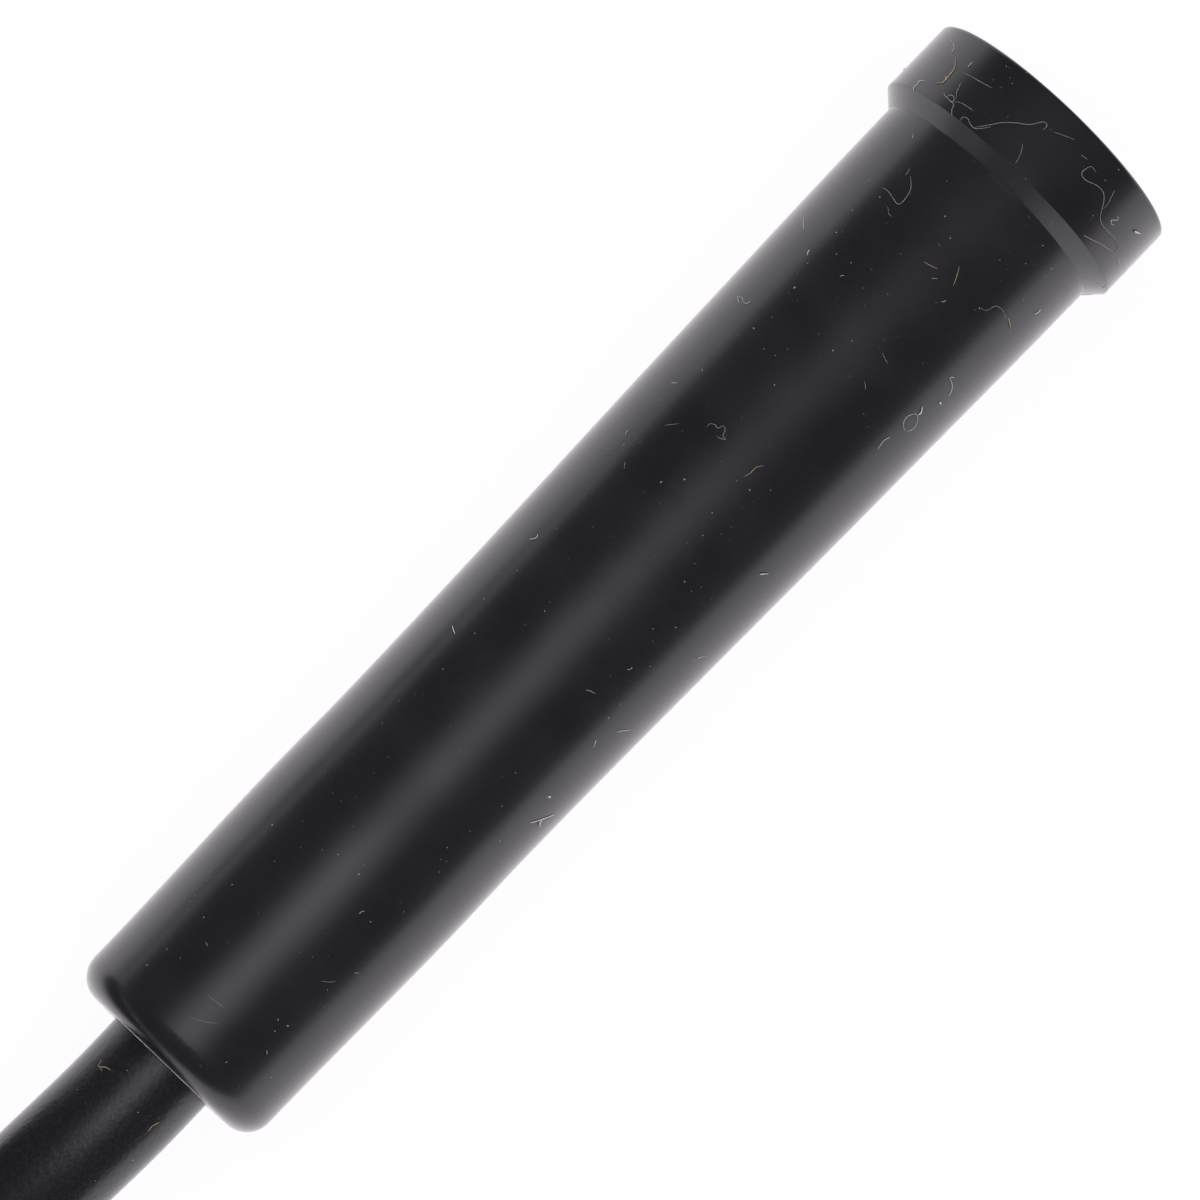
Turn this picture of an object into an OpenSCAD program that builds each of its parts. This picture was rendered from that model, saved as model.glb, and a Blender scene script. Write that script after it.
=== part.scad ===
// Electric cable shutter release: a soft one-piece grip over a hard switch tube, a sprung
// button inside the collar, a jacketed three-core cord and a three-pole miniature plug.
// The handle lies along X with its button end at +X. The origin is under its middle, on the
// surface that the collar's rim rests on. Pieces of the handle and of the plug are drawn
// along +Z and then laid along +X.

/* [Grip] */
// Length of the handle, from the face that the cord leaves to the rim of the collar
handle_len = 52.1; // [50:0.1:60]
// Diameter of the grip just after the rounded cord end
grip_tail_d = 9.6; // [9.2:0.05:10]
// Diameter at the slight swell for the fingertips
grip_swell_d = 9.87; // [9.4:0.01:10.4]
// Distance of the swell from the cord end
swell_at = 11.5; // [8:0.5:13]
// Diameter at the waist after the swell
grip_waist_d = 9.8; // [9.4:0.05:10.2]
// Distance of the waist from the cord end
waist_at = 15.8; // [14.5:0.1:20]
// Diameter on the long taper towards the collar
grip_taper_d = 10.53; // [10:0.01:10.8]
// Distance of that diameter from the cord end
taper_at = 37; // [30:0.5:40]
// Diameter of the grip where it meets the collar
grip_neck_d = 10.82; // [10.4:0.02:11.4]
// Radius of the rounded edge at the cord end
tail_round = 1.2; // [0.4:0.1:1.4]
// Thickness of the grip's wall at the cord end
end_wall = 1.6; // [1.2:0.1:2.4]

/* [Collar] */
// Outer diameter of the collar round the button
collar_d = 12.17; // [11.6:0.01:13]
// Length of the collar, without its bevel
collar_len = 3.3; // [2.4:0.1:4.4]
// Width of the small bevel inside the rim
rim_bevel = 0.25; // [0.1:0.05:0.4]

/* [Switch housing] */
// Outer diameter of the hard tube inside the grip
housing_d = 7.6; // [7.2:0.1:8]
// Wall of that tube
housing_wall = 0.7; // [0.5:0.05:0.8]
// Thickness of the tube's end wall, which the cord passes
housing_end_t = 2.2; // [1.6:0.1:3]
// Outer diameter of the housing's head, which fills the collar
head_d = 9.4; // [9.2:0.1:9.6]
// Wall of the head round the button
head_wall = 0.55; // [0.4:0.05:0.65]
// Thickness of the head's shoulder
head_floor_t = 0.8; // [0.6:0.1:1.4]

/* [Button] */
// Diameter of the button's face
button_d = 7; // [6.4:0.1:7.4]
// Depth of the button's face below the rim at rest
button_recess = 0.4; // [0.2:0.05:0.8]
// Full travel of the button
travel = 1.7; // [1.2:0.1:2]
// Depth of the hollow in the button's face
dish_depth = 0.4; // [0.2:0.05:0.6]
// Thickness of the button's roof under the hollow
button_roof_t = 1; // [0.8:0.1:1.2]
// Length of the button's wide skirt
skirt_len = 1.95; // [1.5:0.05:2.6]
// Wall of the skirt
skirt_wall = 0.75; // [0.5:0.05:0.9]
// Depth of the plunger's socket in the button
socket_depth = 2.2; // [1.6:0.1:2.6]
// Depth of the bezel's face below the rim
bezel_recess = 0.6; // [0.4:0.05:1]
// Thickness of the bezel's flange
bezel_flange_t = 0.9; // [0.6:0.1:1.2]
// Length of the bezel inside the head
bezel_spigot_len = 1.2; // [0.8:0.1:1.6]

/* [Plunger and spring] */
// Diameter of the insulating plunger
plunger_d = 3; // [2.8:0.1:3.2]
// Length of the plunger's thick part
plunger_len = 15.1; // [13:0.1:17]
// Diameter of the plunger's neck under the contact ring
neck_d = 1.8; // [1.6:0.1:2]
// Outer diameter of the brass contact ring
ring_d = 3.8; // [3.6:0.1:4]
// Length of the contact ring
ring_len = 3.4; // [3:0.1:4]
// Thickness of the retaining clip
clip_t = 0.4; // [0.3:0.05:0.5]
// Length of the guide bush below its flange
bush_len = 3; // [2:0.1:4]
// Thickness of the bush's flange
bush_flange_t = 0.6; // [0.4:0.1:1]
// Wire diameter of the return spring
spring_wire = 0.34; // [0.3:0.02:0.4]
// Number of turns of the return spring
spring_turns = 5; // [4:1:6]

/* [Contacts] */
// Travel at which the focus contact closes
focus_travel = 0.8; // [0.6:0.05:0.9]
// Travel at which the release contact closes
release_travel = 1.4; // [1:0.05:1.5]
// Width of a contact finger
finger_w = 1.2; // [0.8:0.1:1.4]
// Thickness of a contact finger
finger_t = 0.2; // [0.15:0.05:0.3]
// Free length of the shortest finger, up to its dimple
finger_len = 6.7; // [5:0.1:8]
// Length of the insulating block that holds the fingers
carrier_len = 6; // [4:0.5:7]
// Length of each finger's solder tag
tag_len = 2.5; // [2.2:0.1:3]

/* [Cord] */
// Diameter of the cord
cord_d = 5; // [4.6:0.1:5.2]
// Diameter of each insulated core
core_d = 0.9; // [0.7:0.05:1]
// Length of the crimped ferrule on the cord inside the handle
ferrule_len = 4; // [3:0.5:4.5]
// Diameter of the stored coil, at the middle of its turns
coil_mean_d = 50; // [50:1:60]
// Number of turns in the stored coil
coil_turns = 3.5; // [2.5:1:3.5]
// Gap between neighbouring turns and between the two layers
turn_gap = 0.55; // [0.5:0.05:1]

/* [Plug] */
// Diameter of the plug's pin
pin_d = 2.5; // [2.4:0.1:2.6]
// Length of the pin, from its shoulder to its tip
pin_len = 11; // [10:0.5:12]
// Length of the pin's common contact, from the shoulder
common_len = 5.1; // [4:0.1:5.5]
// Length of the pin's ring contact
ring_band_len = 1.5; // [1.2:0.1:2]
// Width of each insulating band on the pin
band_len = 0.6; // [0.4:0.1:0.8]
// Diameter of the plug's shell
shell_d = 8; // [7.8:0.1:9]
// Length of the plug's shell
shell_len = 18.5; // [17:0.5:22]
// Wall of the plug's shell
shell_wall = 0.65; // [0.4:0.05:0.7]
// Length of the flexible boot behind the shell
boot_len = 12; // [9:1:15]

/* [Clearances] */
// Gap between pieces that are pressed or seated together
seat_gap = 0.02; // [0.01:0.01:0.04]
// Radial running gap of the button and the plunger
slide_gap = 0.08; // [0.04:0.01:0.1]
// Gap round the cord where it enters the grip
cord_gap = 0.08; // [0.04:0.02:0.1]

/* [Hidden] */
$fn = 96;

// Radii across the handle, from the middle out
cord_r = cord_d / 2;
core_r = core_d / 2;
pin_r = pin_d / 2;
neck_r = neck_d / 2;
groove_depth = 0.3;
groove_r = neck_r - groove_depth;
clip_r = neck_r + 0.6;
plunger_r = plunger_d / 2;
ring_r = ring_d / 2;
housing_r = housing_d / 2;
bore_r = housing_r - housing_wall;
head_r = head_d / 2;
chamber_r = head_r - head_wall;
button_r = button_d / 2;
skirt_r = chamber_r - slide_gap;
skirt_in_r = skirt_r - skirt_wall;
socket_r = plunger_r + seat_gap;
boss_wall = 0.75;
boss_r = socket_r + boss_wall;
spring_r = (boss_r + skirt_in_r) / 2;
collar_r = collar_d / 2;
neck_bevel = collar_r - grip_neck_d / 2;

// Heights along the handle, from the rim back to the contacts
bezel_top = handle_len - bezel_recess;
head_top = bezel_top - bezel_flange_t;
spigot_end = head_top - bezel_spigot_len;
stop_gap = 0.05;
bottom_gap = 0.2;
button_top = handle_len - button_recess;
button_roof = button_top - dish_depth - button_roof_t;
button_shoulder = spigot_end - stop_gap;
button_bottom = button_shoulder - skirt_len;
bush_top = button_bottom - travel - bottom_gap;
chamber_floor = bush_top - bush_flange_t;
head_z = chamber_floor - head_floor_t;
plunger_top = button_bottom + socket_depth - seat_gap;
plunger_shoulder = plunger_top - plunger_len;
ring_top = plunger_shoulder - seat_gap;
ring_end = ring_top - ring_len;
clip_top = ring_end - seat_gap;
clip_land = 0.4;
plunger_end = clip_top - clip_t - clip_land;

// Heights of the three dimples, of the block that holds the fingers and of their tags
common_z = ring_end + (ring_len - travel) / 2;
focus_z = ring_end - focus_travel;
release_z = ring_end - release_travel;
carrier_top = release_z - finger_len;
carrier_end = carrier_top - carrier_len;
tag_end = carrier_end - tag_len;
solder_z = tag_end + 0.7;
solder_len = 1.3;

// Where the fingers stand round the plunger
contact_air = 0.03;
dimple_r = 0.5;
dimple_h = 0.42;
finger_in = ring_r + contact_air + dimple_h;
finger_end = 0.7;
common_turn = 0;
focus_turn = 120;
release_turn = 240;
screw_turn = 60;

// Cord end inside the handle
housing_z = end_wall + seat_gap;
housing_in = end_wall + housing_end_t;
ferrule_z = housing_in + 0.3;
ferrule_wall = min(0.5, bore_r - cord_r - 2 * seat_gap);
jacket_end = ferrule_z + ferrule_len + 0.8;
core_spread = 0.5;
core_ring_r = core_r + core_spread;

// Small screw that holds the contact block
screw_r = 0.6;
screw_head_r = 0.95;
screw_head_t = 0.3;
screw_face = sqrt(housing_r * housing_r - screw_head_r * screw_head_r) - seat_gap;
screw_tip_r = 1.6;
screw_z = (carrier_top + carrier_end) / 2;

// Plug, along its own axis from the end of the free cord
boot_start = 0.5;
boot_small_r = cord_r + 0.5;
boot_large_r = cord_r + 1;
boot_neck_r = cord_r + 0.55;
boot_flange_r = cord_r + 0.8;
boot_flange_t = 1.2;
shell_end_t = 1.2;
shell_nose_t = 2;
shell_r = shell_d / 2;
shell_bore_r = shell_r - shell_wall;
shell_end = boot_len + shell_len;
plug_jacket_end = boot_len + 5;
shoulder_r = 2.6;
shoulder_t = 0.8;
shoulder = shell_end + shoulder_t;
hub_r = 1.9;
hub_len = 2.6;
hub_z = shell_end - hub_len;
stem_r = 0.3;
tube_wall = 0.2;
layer_step = 0.8;
rear_insulator_z = hub_z - layer_step;
ring_tube_z = rear_insulator_z - layer_step;
front_insulator_z = ring_tube_z - layer_step;
stem_z = front_insulator_z - 1.5 * layer_step;
inner_insulator_r = stem_r + seat_gap + tube_wall;
ring_tube_r = inner_insulator_r + seat_gap + tube_wall;
outer_insulator_r = ring_tube_r + seat_gap + tube_wall;
common_end = shoulder + common_len;
ring_band_z = common_end + band_len;
ring_band_end = ring_band_z + ring_band_len;
tip_z = ring_band_end + band_len;
pin_tip = shoulder + pin_len;

// Route of the free cord. Each point of the lead is its distance from the grip, its drift to
// +Y and the share of the fall to the surface that is still to come. Each point of the tail
// is its distance from the coil, its drift and the share of its own fall.
axis_z = collar_r;
lift = 0.05;
coil_z = cord_r + lift;
layer_h = cord_d + turn_gap;
turn_pitch = cord_d + turn_gap;
plug_z = shell_r + lift;
exit_x = -handle_len / 2;
lead_points = [
    [0, 0, 1], [2.5, 0, 1], [5, 0.1, 0.98], [8, 0.25, 0.89], [11.5, 0.38, 0.7],
    [15, 0.5, 0.45], [18.5, 0.62, 0.21], [22, 0.73, 0.05], [25, 0.82, 0]
];
tail_points = [
    [0, 0, 1], [3, 0.09, 0.98], [6, 0.17, 0.87], [9.5, 0.24, 0.65], [13, 0.29, 0.38],
    [16.5, 0.32, 0.16], [20, 0.33, 0.03], [24, 0.33, 0]
];

// The coil winds in on the surface, climbs while it reverses, and winds out on top
coil_half = coil_turns / 2;
coil_r = coil_mean_d / 2 + turn_pitch * coil_half / 2;
loop_rings = 24;
coil_sides = 6;
tube_sides = 12;
coil_slant = atan(turn_pitch / (2 * PI * coil_r));
out_way = [-1, 0, 0];
wind_way = [-cos(coil_slant), sin(coil_slant), 0];
unwind_way = [cos(coil_slant), sin(coil_slant), 0];
plug_way = [1, 0, 0];
lead_route = [for (p = lead_points) [exit_x - p[0], p[1], coil_z + (axis_z - coil_z) * p[2]]];
coil_start = lead_route[len(lead_route) - 1];
wind_start = coil_start + cord_d * wind_way;
coil_centre = wind_start + [0, coil_r, 0];
coil_steps = round(coil_turns * loop_rings);
winding = [for (i = [0:coil_steps]) coil_point(i / loop_rings)];
wind_end = winding[coil_steps];
coil_end = wind_end + cord_d * unwind_way;
coil_route = concat([coil_start], winding, [coil_end]);
tail_route = [
    for (p = tail_points) [coil_end[0] + p[0], coil_end[1] + p[1], plug_z + (coil_end[2] - plug_z) * p[2]]
];
plug_at = tail_route[len(tail_route) - 1];

// Point of the coil after so many turns
function coil_point(turn) =
    let (
        r = coil_r - turn_pitch * min(turn, coil_turns - turn),
        climb = min(1, max(0, (turn - coil_half + 0.25) * 2)),
        eased = climb * climb * (3 - 2 * climb),
        angle = -90 - 360 * turn
    )
    coil_centre + [r * cos(angle), r * sin(angle), layer_h * eased];

// Least distance between turns of the coil that are over half a turn apart, less the cord
coil_gap = min([
    for (i = [0:coil_steps - 1])
        for (k = [i + loop_rings / 2:1:coil_steps]) norm(winding[i] - winding[k])
]) - cord_d;
echo(least_gap_between_turns = coil_gap);

function unit(v) = v / norm(v);
function mix(a, b, share) = a + (b - a) * share;

// Direction of a route at one of its points
function heading(route, i) =
    unit(route[min(i + 1, len(route) - 1)] - route[max(i - 1, 0)]);

// Ring of points square to a direction, with one point on top and one below
function ring_points(centre, way, r, sides) =
    let (side = unit(cross(way, [0, 0, 1])), up = cross(side, way))
    [
        for (k = [0:sides - 1])
            let (angle = 90 + 360 * k / sides)
            centre + r * (cos(angle) * side + sin(angle) * up)
    ];

// Triangles of a closed tube of so many rings
function tube_faces(rings, sides) = concat(
    [for (i = [0:rings - 2]) for (k = [0:sides - 1])
        [i * sides + k, (i + 1) * sides + k, (i + 1) * sides + (k + 1) % sides]],
    [for (i = [0:rings - 2]) for (k = [0:sides - 1])
        [i * sides + k, (i + 1) * sides + (k + 1) % sides, i * sides + (k + 1) % sides]],
    [for (k = [1:sides - 2]) [0, k, k + 1]],
    [for (k = [1:sides - 2]) let (last = (rings - 1) * sides) [last, last + k + 1, last + k]]
);

// Closed tube along a route, with its end faces square to the two given directions
module tube_along(route, r, sides, start_way, end_way) {
    last = len(route) - 1;
    points = [
        for (i = [0:last])
            let (way = i == 0 ? start_way : i == last ? end_way : heading(route, i))
            each ring_points(route[i], way, r, sides)
    ];
    polyhedron(points, tube_faces(last + 1, sides), convexity = 10);
}

// Cubic curve between two stations [z, r] with the slopes at its ends
function curve_between(a, b, slope_a, slope_b, steps) = [
    for (i = [1:steps])
        let (t = i / steps, d = b[0] - a[0])
        [a[0] + d * t,
         a[1] * (2 * t * t * t - 3 * t * t + 1) + slope_a * d * (t * t * t - 2 * t * t + t)
         + b[1] * (3 * t * t - 2 * t * t * t) + slope_b * d * (t * t * t - t * t)]
];

function slope_between(a, b) = (b[1] - a[1]) / (b[0] - a[0]);

// Slope of the outline at a station: level at its two ends, and a mean of both sides elsewhere
function slope_at(s, i) =
    i == 0 || i == len(s) - 1 ? 0 : (slope_between(s[i - 1], s[i]) + slope_between(s[i], s[i + 1])) / 2;

// Smooth outline through stations [z, r]
function smooth_outline(s, steps) = concat(
    [s[0]],
    [for (i = [0:len(s) - 2]) each curve_between(s[i], s[i + 1], slope_at(s, i), slope_at(s, i + 1), steps)]
);

grip_stations = [
    [tail_round, grip_tail_d / 2],
    [swell_at, grip_swell_d / 2],
    [waist_at, grip_waist_d / 2],
    [taper_at, grip_taper_d / 2],
    [handle_len - collar_len - neck_bevel, grip_neck_d / 2]
];

module on_handle() translate([exit_x, 0, axis_z]) rotate([0, 90, 0]) children();

module on_plug() translate(plug_at) rotate([0, 90, 0]) children();

// Closed tube from z = a to z = b
module ring_solid(r_out, r_in, a, b) {
    translate([0, 0, a]) difference() {
        cylinder(h = b - a, r = r_out);
        translate([0, 0, -1]) cylinder(h = b - a + 2, r = r_in);
    }
}

module grip_sleeve() {
    corner = [for (a = [0:10:80]) [tail_round * (1 - cos(a)), grip_tail_d / 2 - tail_round * (1 - sin(a))]];
    outer = [for (p = concat(corner, smooth_outline(grip_stations, 7))) [p[1], p[0]]];
    hole_r = cord_r + cord_gap;
    color("#26262a") on_handle() rotate_extrude() polygon(concat(
        outer,
        [
            [collar_r, handle_len - collar_len],
            [collar_r, handle_len],
            [head_r + seat_gap + rim_bevel, handle_len],
            [head_r + seat_gap, handle_len - rim_bevel],
            [head_r + seat_gap, head_z - seat_gap],
            [housing_r + seat_gap, head_z - seat_gap],
            [housing_r + seat_gap, end_wall],
            [hole_r, end_wall],
            [hole_r, 0]
        ]
    ));
}

// Radial place on the handle's housing, z along the radius
module at_screw() translate([0, 0, screw_z]) rotate([0, 0, screw_turn]) rotate([0, 90, 0]) children();

module switch_housing() {
    color("#1c1c1f") on_handle() difference() {
        rotate_extrude() polygon([
            [cord_r + cord_gap, housing_z],
            [housing_r, housing_z],
            [housing_r, head_z],
            [head_r, head_z],
            [head_r, head_top],
            [chamber_r, head_top],
            [chamber_r, chamber_floor],
            [bore_r, chamber_floor],
            [bore_r, housing_in],
            [cord_r + cord_gap, housing_in]
        ]);
        at_screw() cylinder(h = housing_r + 1, r = screw_r + seat_gap);
        at_screw() translate([0, 0, screw_face - screw_head_t - seat_gap])
            cylinder(h = 2, r = screw_head_r + seat_gap);
    }
}

module button_bezel() {
    bevel = 0.2;
    hole_r = button_r + slide_gap;
    color("#17171a") on_handle() rotate_extrude() polygon([
        [hole_r, spigot_end],
        [chamber_r - seat_gap, spigot_end],
        [chamber_r - seat_gap, head_top + seat_gap],
        [head_r, head_top + seat_gap],
        [head_r, bezel_top - bevel],
        [head_r - bevel, bezel_top],
        [hole_r + bevel, bezel_top],
        [hole_r, bezel_top - bevel]
    ]);
}

module push_button() {
    edge = 0.3;
    dish_r = button_r - 2 * edge;
    ball_r = (dish_r * dish_r + dish_depth * dish_depth) / (2 * dish_depth);
    dish = [
        for (k = [0:8])
            let (x = dish_r * (1 - k / 8))
            [x, button_top - dish_depth + ball_r - sqrt(ball_r * ball_r - x * x)]
    ];
    rounded = [for (a = [0:15:90]) [button_r - edge * (1 - cos(a)), button_top - edge * (1 - sin(a))]];
    color("#2b2b2e") on_handle() rotate_extrude() polygon(concat(
        [
            [skirt_in_r, button_bottom],
            [skirt_r, button_bottom],
            [skirt_r, button_shoulder],
            [button_r, button_shoulder]
        ],
        rounded,
        dish,
        [
            [0, plunger_top + seat_gap],
            [socket_r, plunger_top + seat_gap],
            [socket_r, button_bottom],
            [boss_r, button_bottom],
            [boss_r, button_roof],
            [skirt_in_r, button_roof]
        ]
    ));
}

module plunger() {
    color("#e9e6dc") on_handle() rotate_extrude() polygon([
        [0, plunger_end],
        [neck_r, plunger_end],
        [neck_r, clip_top - clip_t - seat_gap],
        [groove_r, clip_top - clip_t - seat_gap],
        [groove_r, clip_top],
        [neck_r, clip_top],
        [neck_r, plunger_shoulder],
        [plunger_r, plunger_shoulder],
        [plunger_r, plunger_top],
        [0, plunger_top]
    ]);
}

module contact_ring() {
    lead_in = 0.2;
    bore = neck_r + seat_gap;
    color("#c9a24b") on_handle() rotate_extrude() polygon([
        [bore, ring_end],
        [ring_r - lead_in, ring_end],
        [ring_r, ring_end + lead_in],
        [ring_r, ring_top],
        [bore, ring_top]
    ]);
}

module retaining_clip() {
    mouth = 2 * groove_r - 0.1;
    color("#8e9196") on_handle() translate([0, 0, clip_top - clip_t]) difference() {
        cylinder(h = clip_t, r = clip_r);
        translate([0, 0, -1]) cylinder(h = clip_t + 2, r = groove_r + seat_gap);
        translate([0, -mouth / 2, -1]) cube([ring_r * 2, mouth, clip_t + 2]);
    }
}

module return_spring() {
    end_gap = 0.05;
    wire_r = spring_wire / 2;
    low = bush_top + wire_r + end_gap;
    high = button_roof - wire_r - end_gap;
    curl_rings = 16;
    rings = spring_turns * curl_rings;
    wire_sides = 6;
    helix = [
        for (i = [0:rings])
            let (a = 360 * i / curl_rings)
            [exit_x + mix(low, high, i / rings), spring_r * sin(a), axis_z + spring_r * cos(a)]
    ];
    points = [
        for (i = [0:rings])
            let (out = unit([0, helix[i][1], helix[i][2] - axis_z]))
            for (k = [0:wire_sides - 1])
                helix[i] + wire_r * (cos(360 * k / wire_sides) * out - sin(360 * k / wire_sides) * [1, 0, 0])
    ];
    color("#b9bcc2") polyhedron(points, tube_faces(rings + 1, wire_sides), convexity = 10);
}

module guide_bush() {
    hole_r = plunger_r + slide_gap;
    rim_gap = 0.2;
    color("#c9a24b") on_handle() rotate_extrude() polygon([
        [hole_r, chamber_floor - bush_len],
        [bore_r - seat_gap, chamber_floor - bush_len],
        [bore_r - seat_gap, chamber_floor + seat_gap],
        [chamber_r - rim_gap, chamber_floor + seat_gap],
        [chamber_r - rim_gap, bush_top],
        [hole_r, bush_top]
    ]);
}

module contact_carrier() {
    color("#6b3f22") on_handle() difference() {
        translate([0, 0, carrier_end]) cylinder(h = carrier_len, r = bore_r - seat_gap);
        for (turn = [common_turn, focus_turn, release_turn])
            rotate([0, 0, turn])
                translate([finger_in - seat_gap, -finger_w / 2 - seat_gap, carrier_end - 1])
                    cube([finger_t + 2 * seat_gap, finger_w + 2 * seat_gap, carrier_len + 2]);
        at_screw() translate([0, 0, screw_tip_r - 0.1]) cylinder(h = housing_r, r = screw_r + seat_gap);
    }
}

module carrier_screw() {
    slot_w = 0.3;
    slot_depth = 0.15;
    color("#8e9196") on_handle() at_screw() difference() {
        union() {
            translate([0, 0, screw_tip_r]) cylinder(h = screw_face - screw_tip_r, r = screw_r);
            translate([0, 0, screw_face - screw_head_t]) cylinder(h = screw_head_t, r = screw_head_r);
        }
        translate([-screw_head_r, -slot_w / 2, screw_face - slot_depth])
            cube([2 * screw_head_r, slot_w, 2 * slot_depth]);
    }
}

// Spring finger with a formed dimple that rubs on the contact ring
module finger(dimple_z, turn) {
    on_handle() rotate([0, 0, turn]) {
        translate([finger_in, -finger_w / 2, tag_end])
            cube([finger_t, finger_w, dimple_z + finger_end - tag_end]);
        intersection() {
            translate([finger_in - dimple_h + dimple_r, finger_w / 2, dimple_z])
                rotate([90, 0, 0]) cylinder(h = finger_w, r = dimple_r);
            translate([0, -finger_w, dimple_z - dimple_r])
                cube([finger_in + finger_t, 2 * finger_w, 2 * dimple_r]);
        }
    }
}

module common_contact() color("#d9b66a") finger(common_z, common_turn);

module focus_contact() color("#d9b66a") finger(focus_z, focus_turn);

module release_contact() color("#d9b66a") finger(release_z, release_turn);

module solder_beads() {
    bead_r = core_r + 0.01;
    color("#a9adb3") on_handle()
        for (turn = [common_turn, focus_turn, release_turn])
            rotate([0, 0, turn]) translate([finger_in - bead_r - 0.03, 0, solder_z + seat_gap])
                cylinder(h = solder_len, r = bead_r);
}

// Insulated core that bends from the cord's middle out to a radius. Its places are [x, y, z]
// in the handle's or the plug's own upright frame, turned about that frame's axis.
module core(from_z, to_z, to_r, turn) {
    bend = [[0, 0], [0.15, 0], [0.4, 0.25], [0.62, 0.72], [0.82, 1], [1, 1]];
    core_sides = 8;
    route = [for (p = bend) [mix(core_ring_r, to_r, p[1]), 0, mix(from_z, to_z, p[0])]];
    points = [
        for (i = [0:len(route) - 1])
            let (way = heading(route, i), out = [way[2], 0, -way[0]])
            for (k = [0:core_sides - 1])
                route[i] + core_r * (cos(360 * k / core_sides) * out - sin(360 * k / core_sides) * [0, 1, 0])
    ];
    rotate([0, 0, turn]) polyhedron(points, tube_faces(len(route), core_sides), convexity = 4);
}

module handle_core(turn) on_handle()
    core(jacket_end + seat_gap, solder_z, finger_in - core_r - 0.04, turn);

module common_wire() color("#1b1b1b") handle_core(common_turn);

module focus_wire() color("#e8e8e4") handle_core(focus_turn);

module release_wire() color("#b3261e") handle_core(release_turn);

module cord_ferrule() {
    color("#c9a24b") on_handle()
        ring_solid(cord_r + seat_gap + ferrule_wall, cord_r + seat_gap, ferrule_z, ferrule_z + ferrule_len);
}

module cord_inner_end() color("#202023") on_handle() cylinder(h = jacket_end, r = cord_r);

module cord_lead() color("#202023") tube_along(lead_route, cord_r, tube_sides, out_way, wind_way);

module cord_coil() color("#202023") tube_along(coil_route, cord_r, coil_sides, wind_way, unwind_way);

module cord_tail() color("#202023") tube_along(tail_route, cord_r, tube_sides, unwind_way, plug_way);

module plug_cord_end() color("#202023") on_plug() cylinder(h = plug_jacket_end, r = cord_r);

module plug_boot() {
    groove_w = 0.9;
    groove_depth = 0.35;
    groove_pitch = 2;
    grooves = floor((boot_len - boot_start - 2.5) / groove_pitch);
    hole_r = cord_r + seat_gap;
    neck_end = boot_len + shell_end_t + seat_gap;
    function boot_r(z) = mix(boot_small_r, boot_large_r, (z - boot_start) / (boot_len - boot_start));
    color("#202023") on_plug() difference() {
        rotate_extrude() polygon([
            [hole_r, boot_start],
            [boot_small_r, boot_start],
            [boot_large_r, boot_len - seat_gap],
            [boot_neck_r, boot_len - seat_gap],
            [boot_neck_r, neck_end],
            [boot_flange_r, neck_end],
            [boot_flange_r, neck_end + boot_flange_t],
            [hole_r, neck_end + boot_flange_t]
        ]);
        for (k = [0:grooves - 1])
            let (z = boot_start + 1.4 + k * groove_pitch)
            ring_solid(boot_large_r + 1, boot_r(z) - groove_depth, z, z + groove_w);
    }
}

module plug_shell() {
    bevel = 0.5;
    flutes = 12;
    flute_r = 0.45;
    flute_sink = 0.2;
    flute_margin = 4;
    color("#1f1f22") on_plug() difference() {
        rotate_extrude() polygon([
            [boot_neck_r + seat_gap, boot_len],
            [shell_r - bevel, boot_len],
            [shell_r, boot_len + bevel],
            [shell_r, shell_end - 2 * bevel],
            [shell_r - 2 * bevel, shell_end],
            [hub_r + seat_gap, shell_end],
            [hub_r + seat_gap, shell_end - shell_nose_t],
            [shell_bore_r, shell_end - shell_nose_t],
            [shell_bore_r, boot_len + shell_end_t],
            [boot_neck_r + seat_gap, boot_len + shell_end_t]
        ]);
        for (k = [0:flutes - 1])
            rotate([0, 0, 360 * k / flutes])
                translate([shell_r + flute_r - flute_sink, 0, boot_len + flute_margin])
                    cylinder(h = shell_len - 2 * flute_margin, r = flute_r, $fn = 24);
    }
}

module plug_sleeve_contact() {
    color("#c9ccd1") on_plug() rotate_extrude() polygon([
        [outer_insulator_r + seat_gap, hub_z],
        [hub_r, hub_z],
        [hub_r, shell_end + seat_gap],
        [shoulder_r, shell_end + seat_gap],
        [shoulder_r, shoulder],
        [pin_r, shoulder],
        [pin_r, common_end],
        [outer_insulator_r + seat_gap, common_end]
    ]);
}

// Tube inside the pin that ends in a band of the pin's full diameter
module pin_layer(r_in, r_out, tail_z, band_z, band_end) {
    on_plug() rotate_extrude() polygon([
        [r_in, tail_z],
        [r_out, tail_z],
        [r_out, band_z],
        [pin_r, band_z],
        [pin_r, band_end],
        [r_in, band_end]
    ]);
}

module plug_rear_insulator() color("#141414")
    pin_layer(ring_tube_r + seat_gap, outer_insulator_r, rear_insulator_z, common_end, ring_band_z);

module plug_ring_contact() color("#c9ccd1")
    pin_layer(inner_insulator_r + seat_gap, ring_tube_r, ring_tube_z, ring_band_z, ring_band_end);

module plug_front_insulator() color("#141414")
    pin_layer(stem_r + seat_gap, inner_insulator_r, front_insulator_z, ring_band_end, tip_z);

module plug_tip_contact() {
    waist_r = pin_r - 0.4;
    nose_r = 0.35;
    collar_end = tip_z + 0.2;
    waist_z = collar_end + 0.5;
    crown_z = waist_z + 0.7;
    crown_len = 0.3;
    color("#c9ccd1") on_plug() rotate_extrude() polygon([
        [0, stem_z],
        [stem_r, stem_z],
        [stem_r, tip_z],
        [pin_r, tip_z],
        [pin_r, collar_end],
        [waist_r, waist_z],
        [pin_r, crown_z],
        [pin_r, crown_z + crown_len],
        [nose_r, pin_tip],
        [0, pin_tip]
    ]);
}

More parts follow.
